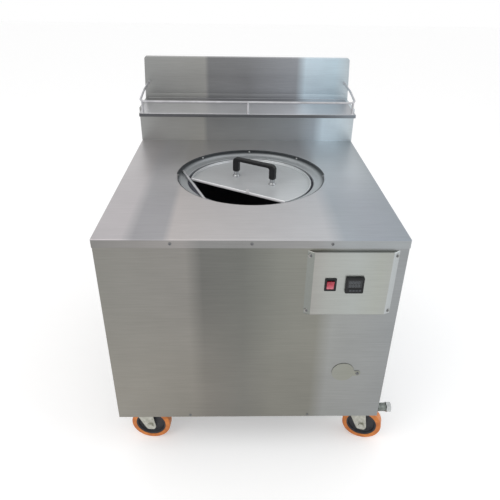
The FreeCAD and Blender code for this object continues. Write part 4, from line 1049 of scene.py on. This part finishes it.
def tapered_block(inset, depth, rounding):
    """A block that narrows towards the user, drawn in by an inset, in mm."""
    rings = []
    for out, side, end in (
        (0, inset, inset), (depth, SIDE_SLOPE + inset / 2, END_SLOPE + inset / 2),
    ):
        low_x, high_x = PANEL_SIDES[0] + side, PANEL_SIDES[1] - side
        low_z, high_z = PANEL_ENDS[0] + end, PANEL_ENDS[1] - end
        y = PANEL_FOOT - out
        rings.append(
            [at(low_x, y, low_z), at(high_x, y, low_z), at(high_x, y, high_z), at(low_x, y, high_z)]
        )
    bm = lofted(rings)
    rim = [
        edge for edge in bm.edges
        if max(vert.co.y for vert in edge.verts) < at(0, PANEL_FOOT - 1, 0).y
    ]
    slants = [edge for edge in bm.edges if abs(edge.verts[0].co.y - edge.verts[1].co.y) > MM]
    round_off(bm, rim + slants, rounding, 4)
    return bm


def carved(base, cutters, added=()):
    """A closed bmesh with some others joined to it, and then others cut out of it."""
    shapes = []
    for bm in (base, *added, *cutters):
        bmesh.ops.recalc_face_normals(bm, faces=bm.faces)
        mesh = bpy.data.meshes.new("shape")
        bm.to_mesh(mesh)
        bm.free()
        shape = bpy.data.objects.new("shape", mesh)
        bpy.context.scene.collection.objects.link(shape)
        shapes.append(shape)
    for index, shape in enumerate(shapes[1:]):
        carve = shapes[0].modifiers.new("carve", "BOOLEAN")
        carve.operation = "UNION" if index < len(added) else "DIFFERENCE"
        carve.solver = "EXACT"
        carve.object = shape
    done = shapes[0].evaluated_get(bpy.context.evaluated_depsgraph_get())
    result = bmesh.new()
    mesh = bpy.data.meshes.new_from_object(done)
    result.from_mesh(mesh)
    bpy.data.meshes.remove(mesh)
    for shape in shapes:
        bpy.data.objects.remove(shape)
    return result


def upright_rod(spot, radius, front, back):
    """A plain round bar along Y between two depths, in mm."""
    bar = turned([(0, 0), (radius, 0), (radius, back - front), (0, back - front)], 40)
    return placed(bar, at(spot[0], front, spot[1]), (0, 1, 0))


def window_block(centre, size, front, back):
    """A block about a place on the front, between two depths, in mm."""
    return new_box(
        at(centre[0] - size[0] / 2, front, centre[1] - size[1] / 2),
        at(centre[0] + size[0] / 2, back, centre[1] + size[1] / 2),
    )


PANEL_SCREWS = [
    (x, z)
    for x in (PANEL_SIDES[0] + 8, PANEL_SIDES[1] - 8)
    for z in (PANEL_ENDS[0] + 13, PANEL_ENDS[1] - 13)
]
shell = carved(tapered_block(0, 10, 2.6 * MM), [tapered_block(3, 8.5, 1.4 * MM)])
bm = carved(
    shell,
    [upright_rod(spot, LAND_RADIUS, LAND_FACE - 12, LAND_FACE) for spot in PANEL_SCREWS]
    + [
        window_block(SWITCH, SWITCH_HOLE, PANEL_FACE - 5, 0),
        window_block(METER, METER_HOLE, PANEL_FACE - 5, 0),
    ],
    [upright_rod(spot, LAND_RADIUS, LAND_FACE, PANEL_FOOT) for spot in PANEL_SCREWS],
)
panel_middle = at(sum(PANEL_SIDES) / 2, 0, 0).x
SLOPE = 0.3
# Slopes that look left get the painted shade, slopes that look right the painted light.
for face in bm.faces:
    outward = face.normal.x * (1 if face.calc_center_median().x > panel_middle else -1)
    if outward > SLOPE:
        face.material_index = 1 if face.normal.x < 0 else 2
finish_piece(
    bm, "control_panel_pressed", "cabinet", "panel_steel",
    (panel_steel, shade_painted_slope_steel, light_painted_slope_steel), ("control_panel",),
)

# %% [markdown]
# ## Rocker switch
# The rocker switch is a black frame with a deep well, and a clear red rocker that a lamp lights
# from behind. The plastic is slightly milky, so it glows a little and lets some light through;
# a lamp behind clear glass would show as a spot. The well is pressed into the frame's front
# face.

# %% Rocker switch
lit_red, red_tree, red_surface, red_place = new_material(
    "lit_red_rocker", Roughness=0.22, Transmission_Weight=0.25, IOR=1.49, Emission_Strength=0.22,
)
red_height = add_node(red_tree, "ShaderNodeSeparateXYZ", inputs={0: red_place}).outputs["Z"]
red_fade = remap(red_tree, red_height, (SWITCH[1] - 13) * MM, (SWITCH[1] + 13) * MM)
red_cloud = noise(red_tree, red_place, 1 / (7 * MM), 2.0)
red_mix = reckon(red_tree, "MULTIPLY_ADD", red_cloud, 0.5, red_fade, clamp=True)
red_tone = ramp(red_tree, red_mix, [(0.2, "#cf7784"), (0.7, "#b8364a"), (1.0, "#a3263a")])
for socket in ("Base Color", "Emission Color"):
    red_tree.links.new(red_tone, red_surface.inputs[socket])


def frame_block(centre, size, front, corner, edge):
    """A frame on the panel: one radius at its four long corners, one round its front edge."""
    bm = window_block(centre, size, front, PANEL_FACE)
    bm.normal_update()
    depth_edges = [
        item for item in bm.edges
        if abs((item.verts[0].co - item.verts[1].co).normalized().y) > 0.9
    ]
    round_off(bm, depth_edges, corner, 5)
    front_y = at(0, front, 0).y
    front_rim = [
        item for item in bm.edges
        if all(abs(vert.co.y - front_y) < NEARLY / 2 for vert in item.verts)
    ]
    round_off(bm, front_rim, edge, 3)
    return bm


def sink(bm, centre, size, front, depth):
    """Press a rectangular well into a front face."""
    low, high = (
        at(centre[0] + way * size[0] / 2, front, centre[1] + way * size[1] / 2) for way in (-1, 1)
    )
    score(bm, low, high, *upright)
    well = inner_face(bm, (low + high) / 2)
    new_floor = bmesh.ops.extrude_discrete_faces(bm, faces=[well])["faces"][0]
    bmesh.ops.translate(bm, vec=(0, depth, 0), verts=new_floor.verts[:])


BEZEL = (31, 39)
WELL = (20, 28)
BEZEL_FRONT = PANEL_FACE - 2.5
bm = frame_block(SWITCH, BEZEL, BEZEL_FRONT, 2.5 * MM, 0.9 * MM)
sink(bm, SWITCH, WELL, BEZEL_FRONT, 16 * MM)
SWITCH_BACK = 23.5
body = window_block(SWITCH, SWITCH_HOLE, PANEL_FACE, SWITCH_BACK)
finish_piece(
    joined([bm, body]), "switch_frame", "cabinet", "black_plastic", moulded_black,
    ("switch_housing",),
)

ROCKER_WIDE, ROCKER_HALF = 19, 12.8
ROCKER_TIP, ROCKER_HOLLOW, ROCKER_ROOT = -5.5, 1.4, 5
ROCKER_TILT = math.radians(11)
rocker_axis = at(SWITCH[0], PANEL_FACE + 1.5, SWITCH[1])
rocker_line = [(ROCKER_ROOT, -7), (ROCKER_ROOT, 7)]
for step in range(9):
    share = 1 - step / 4
    depth = ROCKER_TIP + ROCKER_HOLLOW * (1 - share ** 2)
    rocker_line.append((depth, ROCKER_HALF * share))
bm = lofted([
    [Vector((x, y, z)) * MM for y, z in rocker_line] for x in (-ROCKER_WIDE / 2, ROCKER_WIDE / 2)
])
side_edges = [
    edge for edge in bm.edges
    if edge.verts[0].co.x * edge.verts[1].co.x > 0
    and max(vert.co.y for vert in edge.verts) < (ROCKER_ROOT - 1) * MM
]
round_off(bm, side_edges, 0.7 * MM, 3)
bm.transform(Matrix.Translation(rocker_axis) @ Matrix.Rotation(ROCKER_TILT, 4, "X"))
finish_piece(bm, "rocker_lens", "rocker", "red_rocker", lit_red, ("switch_rocker",))

# %% [markdown]
# ## Temperature controller
# The controller is a common 48 mm panel instrument: a thick rounded black frame, a smoked
# window with two rows of unlit figures behind it, and a strip of four small keys. The figures
# are thin bars in the pattern of a seven-segment display. A picture of a display would go flat
# from the side.

# %% Temperature controller
METER_FRONT = PANEL_FACE - 7
METER_FRAME = (48, 48)
METER_BACK = 69.5
GLASS = (METER[0], METER[1] + 5)
GLASS_WIDE, GLASS_HIGH = 38, 24
bm = frame_block(METER, METER_FRAME, METER_FRONT, 3 * MM, 1.4 * MM)
sink(bm, GLASS, (GLASS_WIDE, GLASS_HIGH), METER_FRONT, 1.6 * MM)
KEY_CENTRE = (METER[0] + 2, METER[1] - 14.5)
key_strip = window_block(KEY_CENTRE, (34, 9), METER_FRONT - 0.25, METER_FRONT + 0.5)
round_off(key_strip, folds(key_strip), 0.6 * MM, 2)
case_body = window_block(METER, METER_HOLE, PANEL_FACE, METER_BACK)
finish_piece(
    joined([bm, key_strip, case_body]), "controller_frame", "cabinet", "black_plastic",
    moulded_black, ("controller_case",),
)
smoked_glass = grained("smoked_acrylic", "#15181b", "#1e2226", 1.0 * MM, 0.01, 0.1, patch=12 * MM)
unlit_segment = grained("unlit_segments", "#4e5257", "#5f6368", 0.6 * MM, 0.05, 0.35, patch=4 * MM)
key_rubber = grained("silicone_keys", "#2e3236", "#3c4045", 0.7 * MM, 0.3, 0.55, patch=5 * MM)
bm = window_block(
    GLASS, (GLASS_WIDE - 0.2, GLASS_HIGH - 0.2), METER_FRONT + 0.6, METER_FRONT + 1.6,
)
round_off(bm, folds(bm), 0.25 * MM, 2)
finish_piece(bm, "controller_glass", "cabinet", "display", smoked_glass, ("controller_window",))

bars = []
SEGMENT = 0.9
DIGIT_WIDE, DIGIT_HALF, DIGIT_PITCH = 4.6, 3.4, 7.4
for row_z in (METER[1] - 0.7, METER[1] + 9.5):
    for digit in range(4):
        middle = GLASS[0] - GLASS_WIDE / 2 + 4.6 + digit * DIGIT_PITCH + DIGIT_WIDE / 2
        segments = [(0, dz, DIGIT_WIDE, SEGMENT) for dz in (DIGIT_HALF, 0, -DIGIT_HALF)]
        segments += [
            (dx, dz, SEGMENT, DIGIT_HALF - 0.9)
            for dz in (DIGIT_HALF / 2, -DIGIT_HALF / 2) for dx in (-DIGIT_WIDE / 2, DIGIT_WIDE / 2)
        ]
        bars += [
            window_block((middle + dx, row_z + dz), size, METER_FRONT + 0.5, METER_FRONT + 0.65)
            for dx, dz, *size in segments
        ]
finish_piece(joined(bars), "controller_figures", "cabinet", "display", unlit_segment)
keys = []
for key in range(4):
    pad = window_block(
        (KEY_CENTRE[0] + (key - 1.5) * 8.2, KEY_CENTRE[1]), (6.4, 5.2), METER_FRONT - 0.9,
        METER_FRONT,
    )
    round_off(pad, folds(pad), 0.7 * MM, 3)
    keys.append(pad)
finish_piece(joined(keys), "controller_keys", "cabinet", "black_plastic", key_rubber)

# %% [markdown]
# ## Peephole cover
# A flat disc hangs in front of the peephole from one shouldered screw. Its ear is blended into
# the disc, and both are one stamping with slightly rolled edges. So the outline is one closed
# line of two arcs that meet where the ear leaves the disc; a disc and an ear joined later would
# show a seam.

# %% Peephole cover
COVER_RADIUS = 33
EAR = (315, 336)
EAR_RADIUS = 9
COVER_FRONT = -0.3
join_low = math.degrees(math.asin((EAR[1] - EAR_RADIUS - PEEP[1]) / COVER_RADIUS))
join_high = math.degrees(math.asin((EAR[1] + EAR_RADIUS - PEEP[1]) / COVER_RADIUS))
cover_line = corner_arc(*PEEP, COVER_RADIUS, join_high, 360 + join_low, 96)
cover_line += corner_arc(*EAR, EAR_RADIUS, -90, 90, 24)
bm = lofted([[at(x, y, z) for x, z in cover_line] for y in (COVER_FRONT, COVER_FRONT + SHEET)])
round_off(bm, folds(bm, 60), 0.55 * MM, 3)
finish_piece(bm, "peephole_disc", "peephole_cover", "cover_steel", cover_steel, ("peephole_cover",))

# %% [markdown]
# ## Screws
# All small screws are pan heads with a cross recess. The head is turned as a low dome, and the
# recess is cut by a tapered cross. One head is made, then scaled to its size, given a turn of
# its own, since no two screws stop alike, and set at every place. The ones on the outside have
# weathered dull.

# %% Pan heads
def cross_head():
    """A pan head 8 mm across and 2 mm high, about Z, with its cross recess."""
    dome = turned([(0, 0), (4, 0), (4, 0.7), (3.55, 1.35), (2.6, 1.85), (1.3, 2), (0, 2)], 32)
    blades = []
    for turn in (0, 90):
        blade = new_box(Vector((-2.1, -0.5, 0.75)) * MM, Vector((2.1, 0.5, 3)) * MM)
        for vert in blade.verts:
            if vert.co.z < MM:
                vert.co.x *= 0.35
        blade.transform(Matrix.Rotation(math.radians(turn), 4, "Z"))
        blades.append(blade)
    return carved(dome, blades)


pan_head = cross_head()


def set_heads(name, places, finish, replaced, wide=1.0, high=1.0):
    """Set pan heads at (spot, outward direction, turn) places, seated on the sheet."""
    heads = []
    for spot, outward, turn in places:
        head = pan_head.copy()
        bmesh.ops.scale(head, vec=(wide, wide, high), verts=head.verts)
        head.transform(Matrix.Rotation(turn, 4, "Z"))
        heads.append(placed(head, spot, outward))
    finish_piece(joined(heads), name, "cabinet", "screw_steel", finish, replaced)


# %% Screws in their places
random.seed(7)
LIP_SCREWS, TOE_SCREWS = 769, 166
RING_SCREW_DROP = 5
TO_FRONT, TO_BACK, TO_LEFT, TO_RIGHT = (0, -1, 0), (0, 1, 0), (-1, 0, 0), (1, 0, 0)


def screw_at(spot, outward):
    """A place for a pan head, with a turn drawn at random."""
    return spot, outward, random.uniform(0, 3)


places = []
for x in (-204, 0, 202):
    places.append(screw_at(at(x, 0, LIP_SCREWS), TO_FRONT))
    places.append(screw_at(at(x, DEPTH, LIP_SCREWS), TO_BACK))
for x in (-180, 180):
    places.append(screw_at(at(x, SKIN_FRONT, TOE_SCREWS), TO_FRONT))
for y in (160, 480, 800):
    places.append(screw_at(at(-HALF_WIDTH, y, LIP_SCREWS), TO_LEFT))
    places.append(screw_at(at(HALF_WIDTH, y, LIP_SCREWS), TO_RIGHT))
set_heads("cabinet_pan_heads", places, dull_steel, ("cabinet_screws",))

places = []
for step in range(8):
    angle = math.radians(45 * step)
    outward = Vector((math.cos(angle), math.sin(angle), 0))
    on_wall = MOUTH + outward * ring_wall * MM + Vector((0, 0, -RING_SCREW_DROP * MM))
    places.append(screw_at(on_wall, -outward))
set_heads("ring_pan_heads", places, screw_steel, ("mouth_ring_screws",), wide=0.8, high=0.9)

places = [screw_at(at(x, LAND_FACE, z), TO_FRONT) for x, z in PANEL_SCREWS]
set_heads("panel_pan_heads", places, dull_steel, ("control_panel_screws",))

pivot_head_spot = at(EAR[0], COVER_FRONT - 0.3, EAR[1])
shank = placed(turned([(0, 0), (2.5, 0), (2.5, 6.5), (0, 6.5)], 24), pivot_head_spot, TO_BACK)
pivot_head = [(pivot_head_spot, TO_FRONT, 0.6)]
set_heads("peephole_screw", pivot_head, dull_steel, ("peephole_pivot",), wide=1.25)
pan_head.free()
finish_piece(shank, "peephole_screw_shank", "cabinet", "screw_steel", screw_steel)

# %% [markdown]
# ## Hexagons
# A nut or a bolt head is a hexagon whose corners are turned off by a cone, so each flat ends in
# a shallow arc. Points every ten degrees give the arc; a plain six-sided prism with bevelled
# edges would lack it, and that arc is what makes a nut look turned.

# %% Hexagon heads
def hexagon(flats, low, high, chamfer_low=True, chamfer_high=True):
    """A hexagon about Z in mm, its ends turned off at 30 degrees where asked."""
    half = flats / 2
    nose = half * 0.94

    def ring(height, fall, on_nose=False):
        """One ring of points; where it falls, it falls furthest at the corners."""
        points = []
        for step in range(36):
            angle = math.radians(10 * step)
            side = half / math.cos((angle % math.radians(60)) - math.radians(30))
            radius = nose if on_nose else side
            level = height + fall * (side - nose) * math.tan(math.radians(30))
            points.append(Vector((radius * math.cos(angle), radius * math.sin(angle), level)) * MM)
        return points

    rings = [ring(low, 1 if chamfer_low else 0), ring(high, -1 if chamfer_high else 0)]
    if chamfer_low:
        rings.insert(0, ring(low, 0, on_nose=True))
    if chamfer_high:
        rings.append(ring(high, 0, on_nose=True))
    return lofted(rings)


# %% [markdown]
# ## Gas inlet
# The gas comes in low on the right: a galvanised pipe with a ribbed socket where it leaves the
# side panel, and a half-inch union nut in front of it. The nut is open at its far end, so that
# end face is taken away and its rim is stepped inwards and down to a bore.

# %% Gas inlet
GAS = (20, 176)
SOCKET_ENDS = (401, 425)
NUT_ENDS = (426, 441)
NUT_FLATS, NUT_BORE, NUT_FLOOR = 30, 9.3, 1
NUT_TURN = math.radians(12)
inlet_low, inlet_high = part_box("gas_inlet_pipe")
PIPE_RADIUS, PIPE_BEND = 10.65, 27
SOCKET_RADIUS, RIB_ROOT, RIB_TOP, RIB_PITCH = 13.4, 12.7, 13.15, 2.8
pipe_start = Vector((inlet_high.x, at(0, GAS[0], 0).y, GAS[1] * MM))
pipe_corner = Vector((inlet_low.x + PIPE_RADIUS * MM, pipe_start.y, pipe_start.z))
pipe_end = Vector((pipe_corner.x, inlet_high.y, pipe_start.z))
pipe = bent_rod([pipe_start, pipe_corner, pipe_end], [PIPE_BEND * MM], PIPE_RADIUS * MM, 24)
length = SOCKET_ENDS[1] - SOCKET_ENDS[0]
socket_line = [(PIPE_RADIUS, 0), (SOCKET_RADIUS, 0), (SOCKET_RADIUS, 4.2), (RIB_ROOT, 5)]
for rib in range(5):
    start = 5 + rib * RIB_PITCH
    socket_line += [
        (RIB_ROOT, start + 0.4), (RIB_TOP, start + 1.1), (RIB_TOP, start + 1.7),
        (RIB_ROOT, start + 2.4),
    ]
socket_line += [
    (RIB_ROOT, length - 5), (SOCKET_RADIUS, length - 4.2), (SOCKET_RADIUS, length),
    (PIPE_RADIUS, length),
]
socket_ends = [((SOCKET_RADIUS, height), 0.8, 3) for height in (0, length)]
socket = placed(turned(socket_line, 40, socket_ends), at(SOCKET_ENDS[0], *GAS), TO_RIGHT)
finish_piece(
    joined([pipe, socket]), "gas_pipe_and_socket", "cabinet", "pipe_iron", galvanised,
    ("gas_inlet_pipe",),
)
nut = hexagon(NUT_FLATS, 0, NUT_ENDS[1] - NUT_ENDS[0])
bmesh.ops.delete(nut, geom=[
    face for face in nut.faces
    if len(face.verts) > 4 and face.calc_center_median().z > NUT_FLOOR * MM
], context="FACES_ONLY")
mouth = [edge for edge in nut.edges if edge.is_boundary]
step_in = bmesh.ops.extrude_edge_only(nut, edges=mouth)["geom"]
for vert in parts_of(step_in, bmesh.types.BMVert):
    vert.co.xy = vert.co.xy.normalized() * NUT_BORE * MM
step_down = bmesh.ops.extrude_edge_only(nut, edges=parts_of(step_in, bmesh.types.BMEdge))["geom"]
for vert in parts_of(step_down, bmesh.types.BMVert):
    vert.co.z = NUT_FLOOR * MM
bmesh.ops.edgeloop_fill(nut, edges=parts_of(step_down, bmesh.types.BMEdge))
nut.transform(Matrix.Rotation(NUT_TURN, 4, "Z"))
finish_piece(
    placed(nut, at(NUT_ENDS[0], *GAS), TO_RIGHT), "gas_union_nut", "cabinet", "brass", nut_plate,
    ("inlet_union_nut",),
)

# %% [markdown]
# ## Castors
# Each castor is a bolted plate with a ball race, a fork bent from 3 mm strip, a hexagon axle
# bolt, a black wheel core and an orange tyre. The fork is drawn as one bent strap and then
# thickened, and the round pieces are turned. All four castors are alike, so each piece is made
# about the swivel axis or the wheel's centre, with the wheel trailing along X, then turned to
# where the measured wheel stands.

# %% Castor pieces
TRAIL = 31
WHEEL_RADIUS, CORE_RADIUS = 62.5, 48
FORK_OUT, FORK_GAUGE = 21.5, 3
CROWN = 140.7
RACE_LOW, RACE_GAP = 147, 0.3
PLATE_UNDER, PLATE_HALF_LONG, PLATE_HALF_WIDE = 155, 50, 42.5
AXLE_WAY = Matrix.Rotation(math.radians(-90), 4, "X")
LEG_TOP = (-27, 36)
LEG_FOOT = ((TRAIL - 17.5, 54), (TRAIL - 11, 43), (TRAIL + 11, 43), (TRAIL + 17.5, 54))


def fork_strap():
    """The fork as one bent strap: its outside, from toe to toe over the crown."""
    bm = bmesh.new()
    crown = {
        (x, y): bm.verts.new(Vector((x, y, CROWN)) * MM)
        for x in LEG_TOP for y in (-FORK_OUT, FORK_OUT)
    }
    front, rear = LEG_TOP
    bm.faces.new([crown[key] for key in (
        (front, -FORK_OUT), (rear, -FORK_OUT), (rear, FORK_OUT), (front, FORK_OUT),
    )])
    for y in (-FORK_OUT, FORK_OUT):
        foot = [bm.verts.new(Vector((x, y, z)) * MM) for x, z in LEG_FOOT]
        bm.faces.new([crown[front, y]] + foot + [crown[rear, y]])
    bends = folds(bm)
    toes = [vert for vert in bm.verts if vert.co.z < 60 * MM]
    bmesh.ops.bevel(
        bm, geom=toes, offset=5 * MM, segments=4, profile=0.5, affect="VERTICES", material=-1,
    )
    round_off(bm, bends, 4.5 * MM, 5)
    look_towards(bm, (0, -1, 0))
    return bm


def race_ring():
    """The disc between the fork's crown and the plate's race dish, with a running gap above it."""
    top = RACE_LOW - RACE_GAP
    return turned(
        [(6.05, CROWN), (27, CROWN), (27, top), (6.05, top)], 48,
        [((27, top), 1.2, 3), ((27, CROWN), 1.0, 2)],
    )


def castor_head():
    """Plate with rounded corners, its race dish and the king pin's head."""
    corner_spot = Vector((PLATE_HALF_LONG, PLATE_HALF_WIDE, PLATE_UNDER + 3)) * MM
    slab = new_box(Vector((-corner_spot.x, -corner_spot.y, PLATE_UNDER * MM)), corner_spot)
    slab.normal_update()
    corners = [edge for edge in slab.edges if abs(edge.verts[0].co.z - edge.verts[1].co.z) > MM]
    round_off(slab, corners, 8 * MM, 5)
    round_off(slab, folds(slab, 60), 0.5 * MM, 2)
    dish = turned(
        [(0, RACE_LOW), (31, RACE_LOW), (31, PLATE_UNDER), (0, PLATE_UNDER)], 48,
        [((31, RACE_LOW), 3.0, 5)],
    )
    pin = turned(
        [(0, 128.4), (10, 128.4), (10, 134.4), (6, 134.4), (6, RACE_LOW), (0, RACE_LOW)], 32,
        [((10, 128.4), 1.6, 3)],
    )
    return joined([slab, dish, pin])


def axle_bolt():
    """Axle bolt about the wheel's centre: head, shank and nut along Y."""
    shank = turned([(0, -24), (5, -24), (5, 31.5), (0, 31.5)], 24, [((5, 31.5), 1.0, 2)])
    whole = joined([
        hexagon(16, -27.5, -FORK_OUT, chamfer_high=False), hexagon(16, FORK_OUT, 29.5), shank,
    ])
    whole.transform(AXLE_WAY)
    return whole


def wheel_core():
    """The wheel's black core: hub, dished web and rim, about its own axle along Y."""
    half_section = [(5.05, 18), (14, 18), (16, 9), (40, 7), (43, 15), (CORE_RADIUS, 15)]
    rounding = []
    for way in (-1, 1):
        rounding += [
            ((14, 18 * way), 1.2, 3), ((16, 9 * way), 2.5, 4), ((40, 7 * way), 2.5, 4),
            ((43, 15 * way), 1.0, 2),
        ]
    section = [(radius, -height) for radius, height in half_section] + half_section[::-1]
    bm = turned(section, 72, rounding)
    bm.transform(AXLE_WAY)
    return bm


def wheel_tyre():
    """Cast tyre: flat tread with rounded shoulders, its sides standing a little proud of the core's
    rim.
    """
    shoulder = WHEEL_RADIUS - 2
    section = [
        (CORE_RADIUS, -15.9), (shoulder, -16), (WHEEL_RADIUS, -14), (WHEEL_RADIUS, 14),
        (shoulder, 16), (CORE_RADIUS, 15.9),
    ]
    bm = turned(section, 96, [(point, 2.2, 4) for point in section[1:-1]])
    bm.transform(AXLE_WAY)
    return bm


# %% The four castors
# Shape, what it turns about, name, body, slot, finish, measured piece, and how it is finished.
STRAP_WALL = {"wall": FORK_GAUGE * MM, "closed": False, "edge": 0.5 * MM}
CASTOR_PIECES = (
    (fork_strap, "swivel", "fork_strap_", "fork_", "zinc", zinc_plate, "castor_fork_", STRAP_WALL),
    (race_ring, "swivel", "fork_race_", "fork_", "zinc", zinc_plate, None, {}),
    (castor_head, "plate", "plate_", None, "zinc", zinc_plate, "castor_plate_", {}),
    (axle_bolt, "wheel", "axle_bolt_", "fork_", "zinc", zinc_plate, "castor_axle_", {}),
    (wheel_core, "wheel", "core_", "wheel_", "wheel_black", black_nylon, "wheel_core_", {}),
    (wheel_tyre, "wheel", "tread_", "wheel_", "tyre_orange", orange_tyre, "tyre_", {}),
)
for corner in ("front_left", "front_right", "rear_left", "rear_right"):
    wheel_low, wheel_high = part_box("wheel_core_" + corner)
    plate_low, plate_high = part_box("castor_plate_" + corner)
    hub = (wheel_low + wheel_high) / 2
    axis = (plate_low + plate_high) / 2
    trail = hub - axis
    turn = Matrix.Rotation(math.atan2(trail.y, trail.x), 4, "Z")
    to_plate = Matrix.Translation((axis.x, axis.y, 0))
    ways = {"plate": to_plate, "swivel": to_plate @ turn, "wheel": Matrix.Translation(hub) @ turn}
    for shape, way, name, body, slot, finish, measured, options in CASTOR_PIECES:
        bm = shape()
        bm.transform(ways[way])
        finish_piece(
            bm, name + corner, body + corner if body else "cabinet", slot, finish,
            (measured + corner,) if measured else (), **options,
        )

# %% [markdown]
# ## Floor and backdrop
# The oven stands on a plain pale floor in a white studio. More light would burn out the steel
# before the floor turned white, so the light stays plain, and only the rays that show the
# backdrop itself find a brighter one: those of the camera, of mirrors and of glass. The floor
# still takes the shadow.

# %% Floor and backdrop
FLOOR_TONE, FLOOR_GLOW, FLOOR_HALF = 0.78, 0.3, 12
WORLD_LIGHT = 0.85
WHITE = (1, 1, 1, 1)


def backdrop_share(tree):
    """1 for rays that show the backdrop itself: seen straight, in metal or through glass."""
    path = add_node(tree, "ShaderNodeLightPath").outputs
    share = path["Is Camera Ray"]
    for kind in ("Is Glossy Ray", "Is Transmission Ray"):
        share = reckon(tree, "MAXIMUM", share, path[kind])
    return share


floor_material, floor_tree, floor_surface = new_material(
    "studio_floor", Base_Color=(FLOOR_TONE, FLOOR_TONE, FLOOR_TONE, 1), Roughness=0.8,
    Specular_IOR_Level=0.2, Emission_Color=WHITE,
)[:3]
glow = reckon(floor_tree, "MULTIPLY", backdrop_share(floor_tree), FLOOR_GLOW)
floor_tree.links.new(glow, floor_surface.inputs["Emission Strength"])
floor_mesh = bpy.data.meshes.new("studio_floor")
bm = bmesh.new()
bmesh.ops.create_grid(bm, x_segments=1, y_segments=1, size=FLOOR_HALF)
bm.to_mesh(floor_mesh)
bm.free()
floor_mesh.materials.append(floor_material)
floor = bpy.data.objects.new("studio_floor", floor_mesh)
bpy.context.scene.collection.objects.link(floor)

world = bpy.data.worlds.new("studio")
bpy.context.scene.world = world
world.use_nodes = True
sky = world.node_tree.nodes["Background"]
sky.inputs["Color"].default_value = WHITE
backdrop = backdrop_share(world.node_tree)
brightness = remap(world.node_tree, backdrop, 0, 1, WORLD_LIGHT, 1.0)
world.node_tree.links.new(brightness, sky.inputs["Strength"])
print("floor and backdrop laid")

# %% [markdown]
# ## Lamps
# Two big square panels light the oven: a warm one above and to the left, and a weaker, cooler
# one to the right. Big lamps give soft shadows and long soft highlights, which is what satin
# steel shows best; small lamps would leave hard bright spots in it.

# %% Lamps
def soft_panel(name, spot, target, size, power, colour):
    """A square area light that looks at a target."""
    lamp = bpy.data.lights.new(name, "AREA")
    lamp.shape = "SQUARE"
    lamp.size = size
    lamp.energy = power
    lamp.color = colour
    panel = bpy.data.objects.new(name, lamp)
    bpy.context.scene.collection.objects.link(panel)
    panel.location = spot
    panel.rotation_euler = (Vector(target) - Vector(spot)).to_track_quat("-Z", "Y").to_euler()


OVEN_MIDDLE = (0, 0, 0.6)
soft_panel("panel_warm", (-2.6, -2.2, 3.2), OVEN_MIDDLE, 2.6, 42, (1.0, 0.965, 0.93))
soft_panel("panel_cool", (2.9, -1.2, 2.6), OVEN_MIDDLE, 2.2, 26, (0.90, 0.95, 1.0))
print(len(bpy.data.lights), "lamps")

# %% [markdown]
# ## Camera
# The camera stands where the one of the picture stood: close in front of the oven, at head
# height and tipped down by thirty degrees. Its place, its three turns and its lens were worked
# out from the cabinet's straight edges. The turns are made from plain directions, so that each
# has one meaning.

# %% Camera
EYE = Vector((-0.0557, -1.5741, 1.3811))
YAW, PITCH, ROLL = (math.radians(value) for value in (1.59, 29.91, -0.91))
ahead = Vector((math.sin(YAW) * math.cos(PITCH), math.cos(YAW) * math.cos(PITCH), -math.sin(PITCH)))
level_right = Vector((math.cos(YAW), -math.sin(YAW), 0))
level_down = ahead.cross(level_right)
right = level_right * math.cos(ROLL) + level_down * math.sin(ROLL)
down = level_down * math.cos(ROLL) - level_right * math.sin(ROLL)
FOCAL, SENSOR = 36.317, 36
lens = bpy.data.cameras.new("view")
lens.lens = FOCAL
lens.sensor_width = SENSOR
lens.clip_end = 100
camera = bpy.data.objects.new("view", lens)
bpy.context.scene.collection.objects.link(camera)
camera.matrix_world = Matrix.Translation(EYE) @ Matrix((right, -down, -ahead)).transposed().to_4x4()
bpy.context.scene.camera = camera
bpy.context.scene.view_settings.view_transform = "Standard"
print("camera at", tuple(EYE))
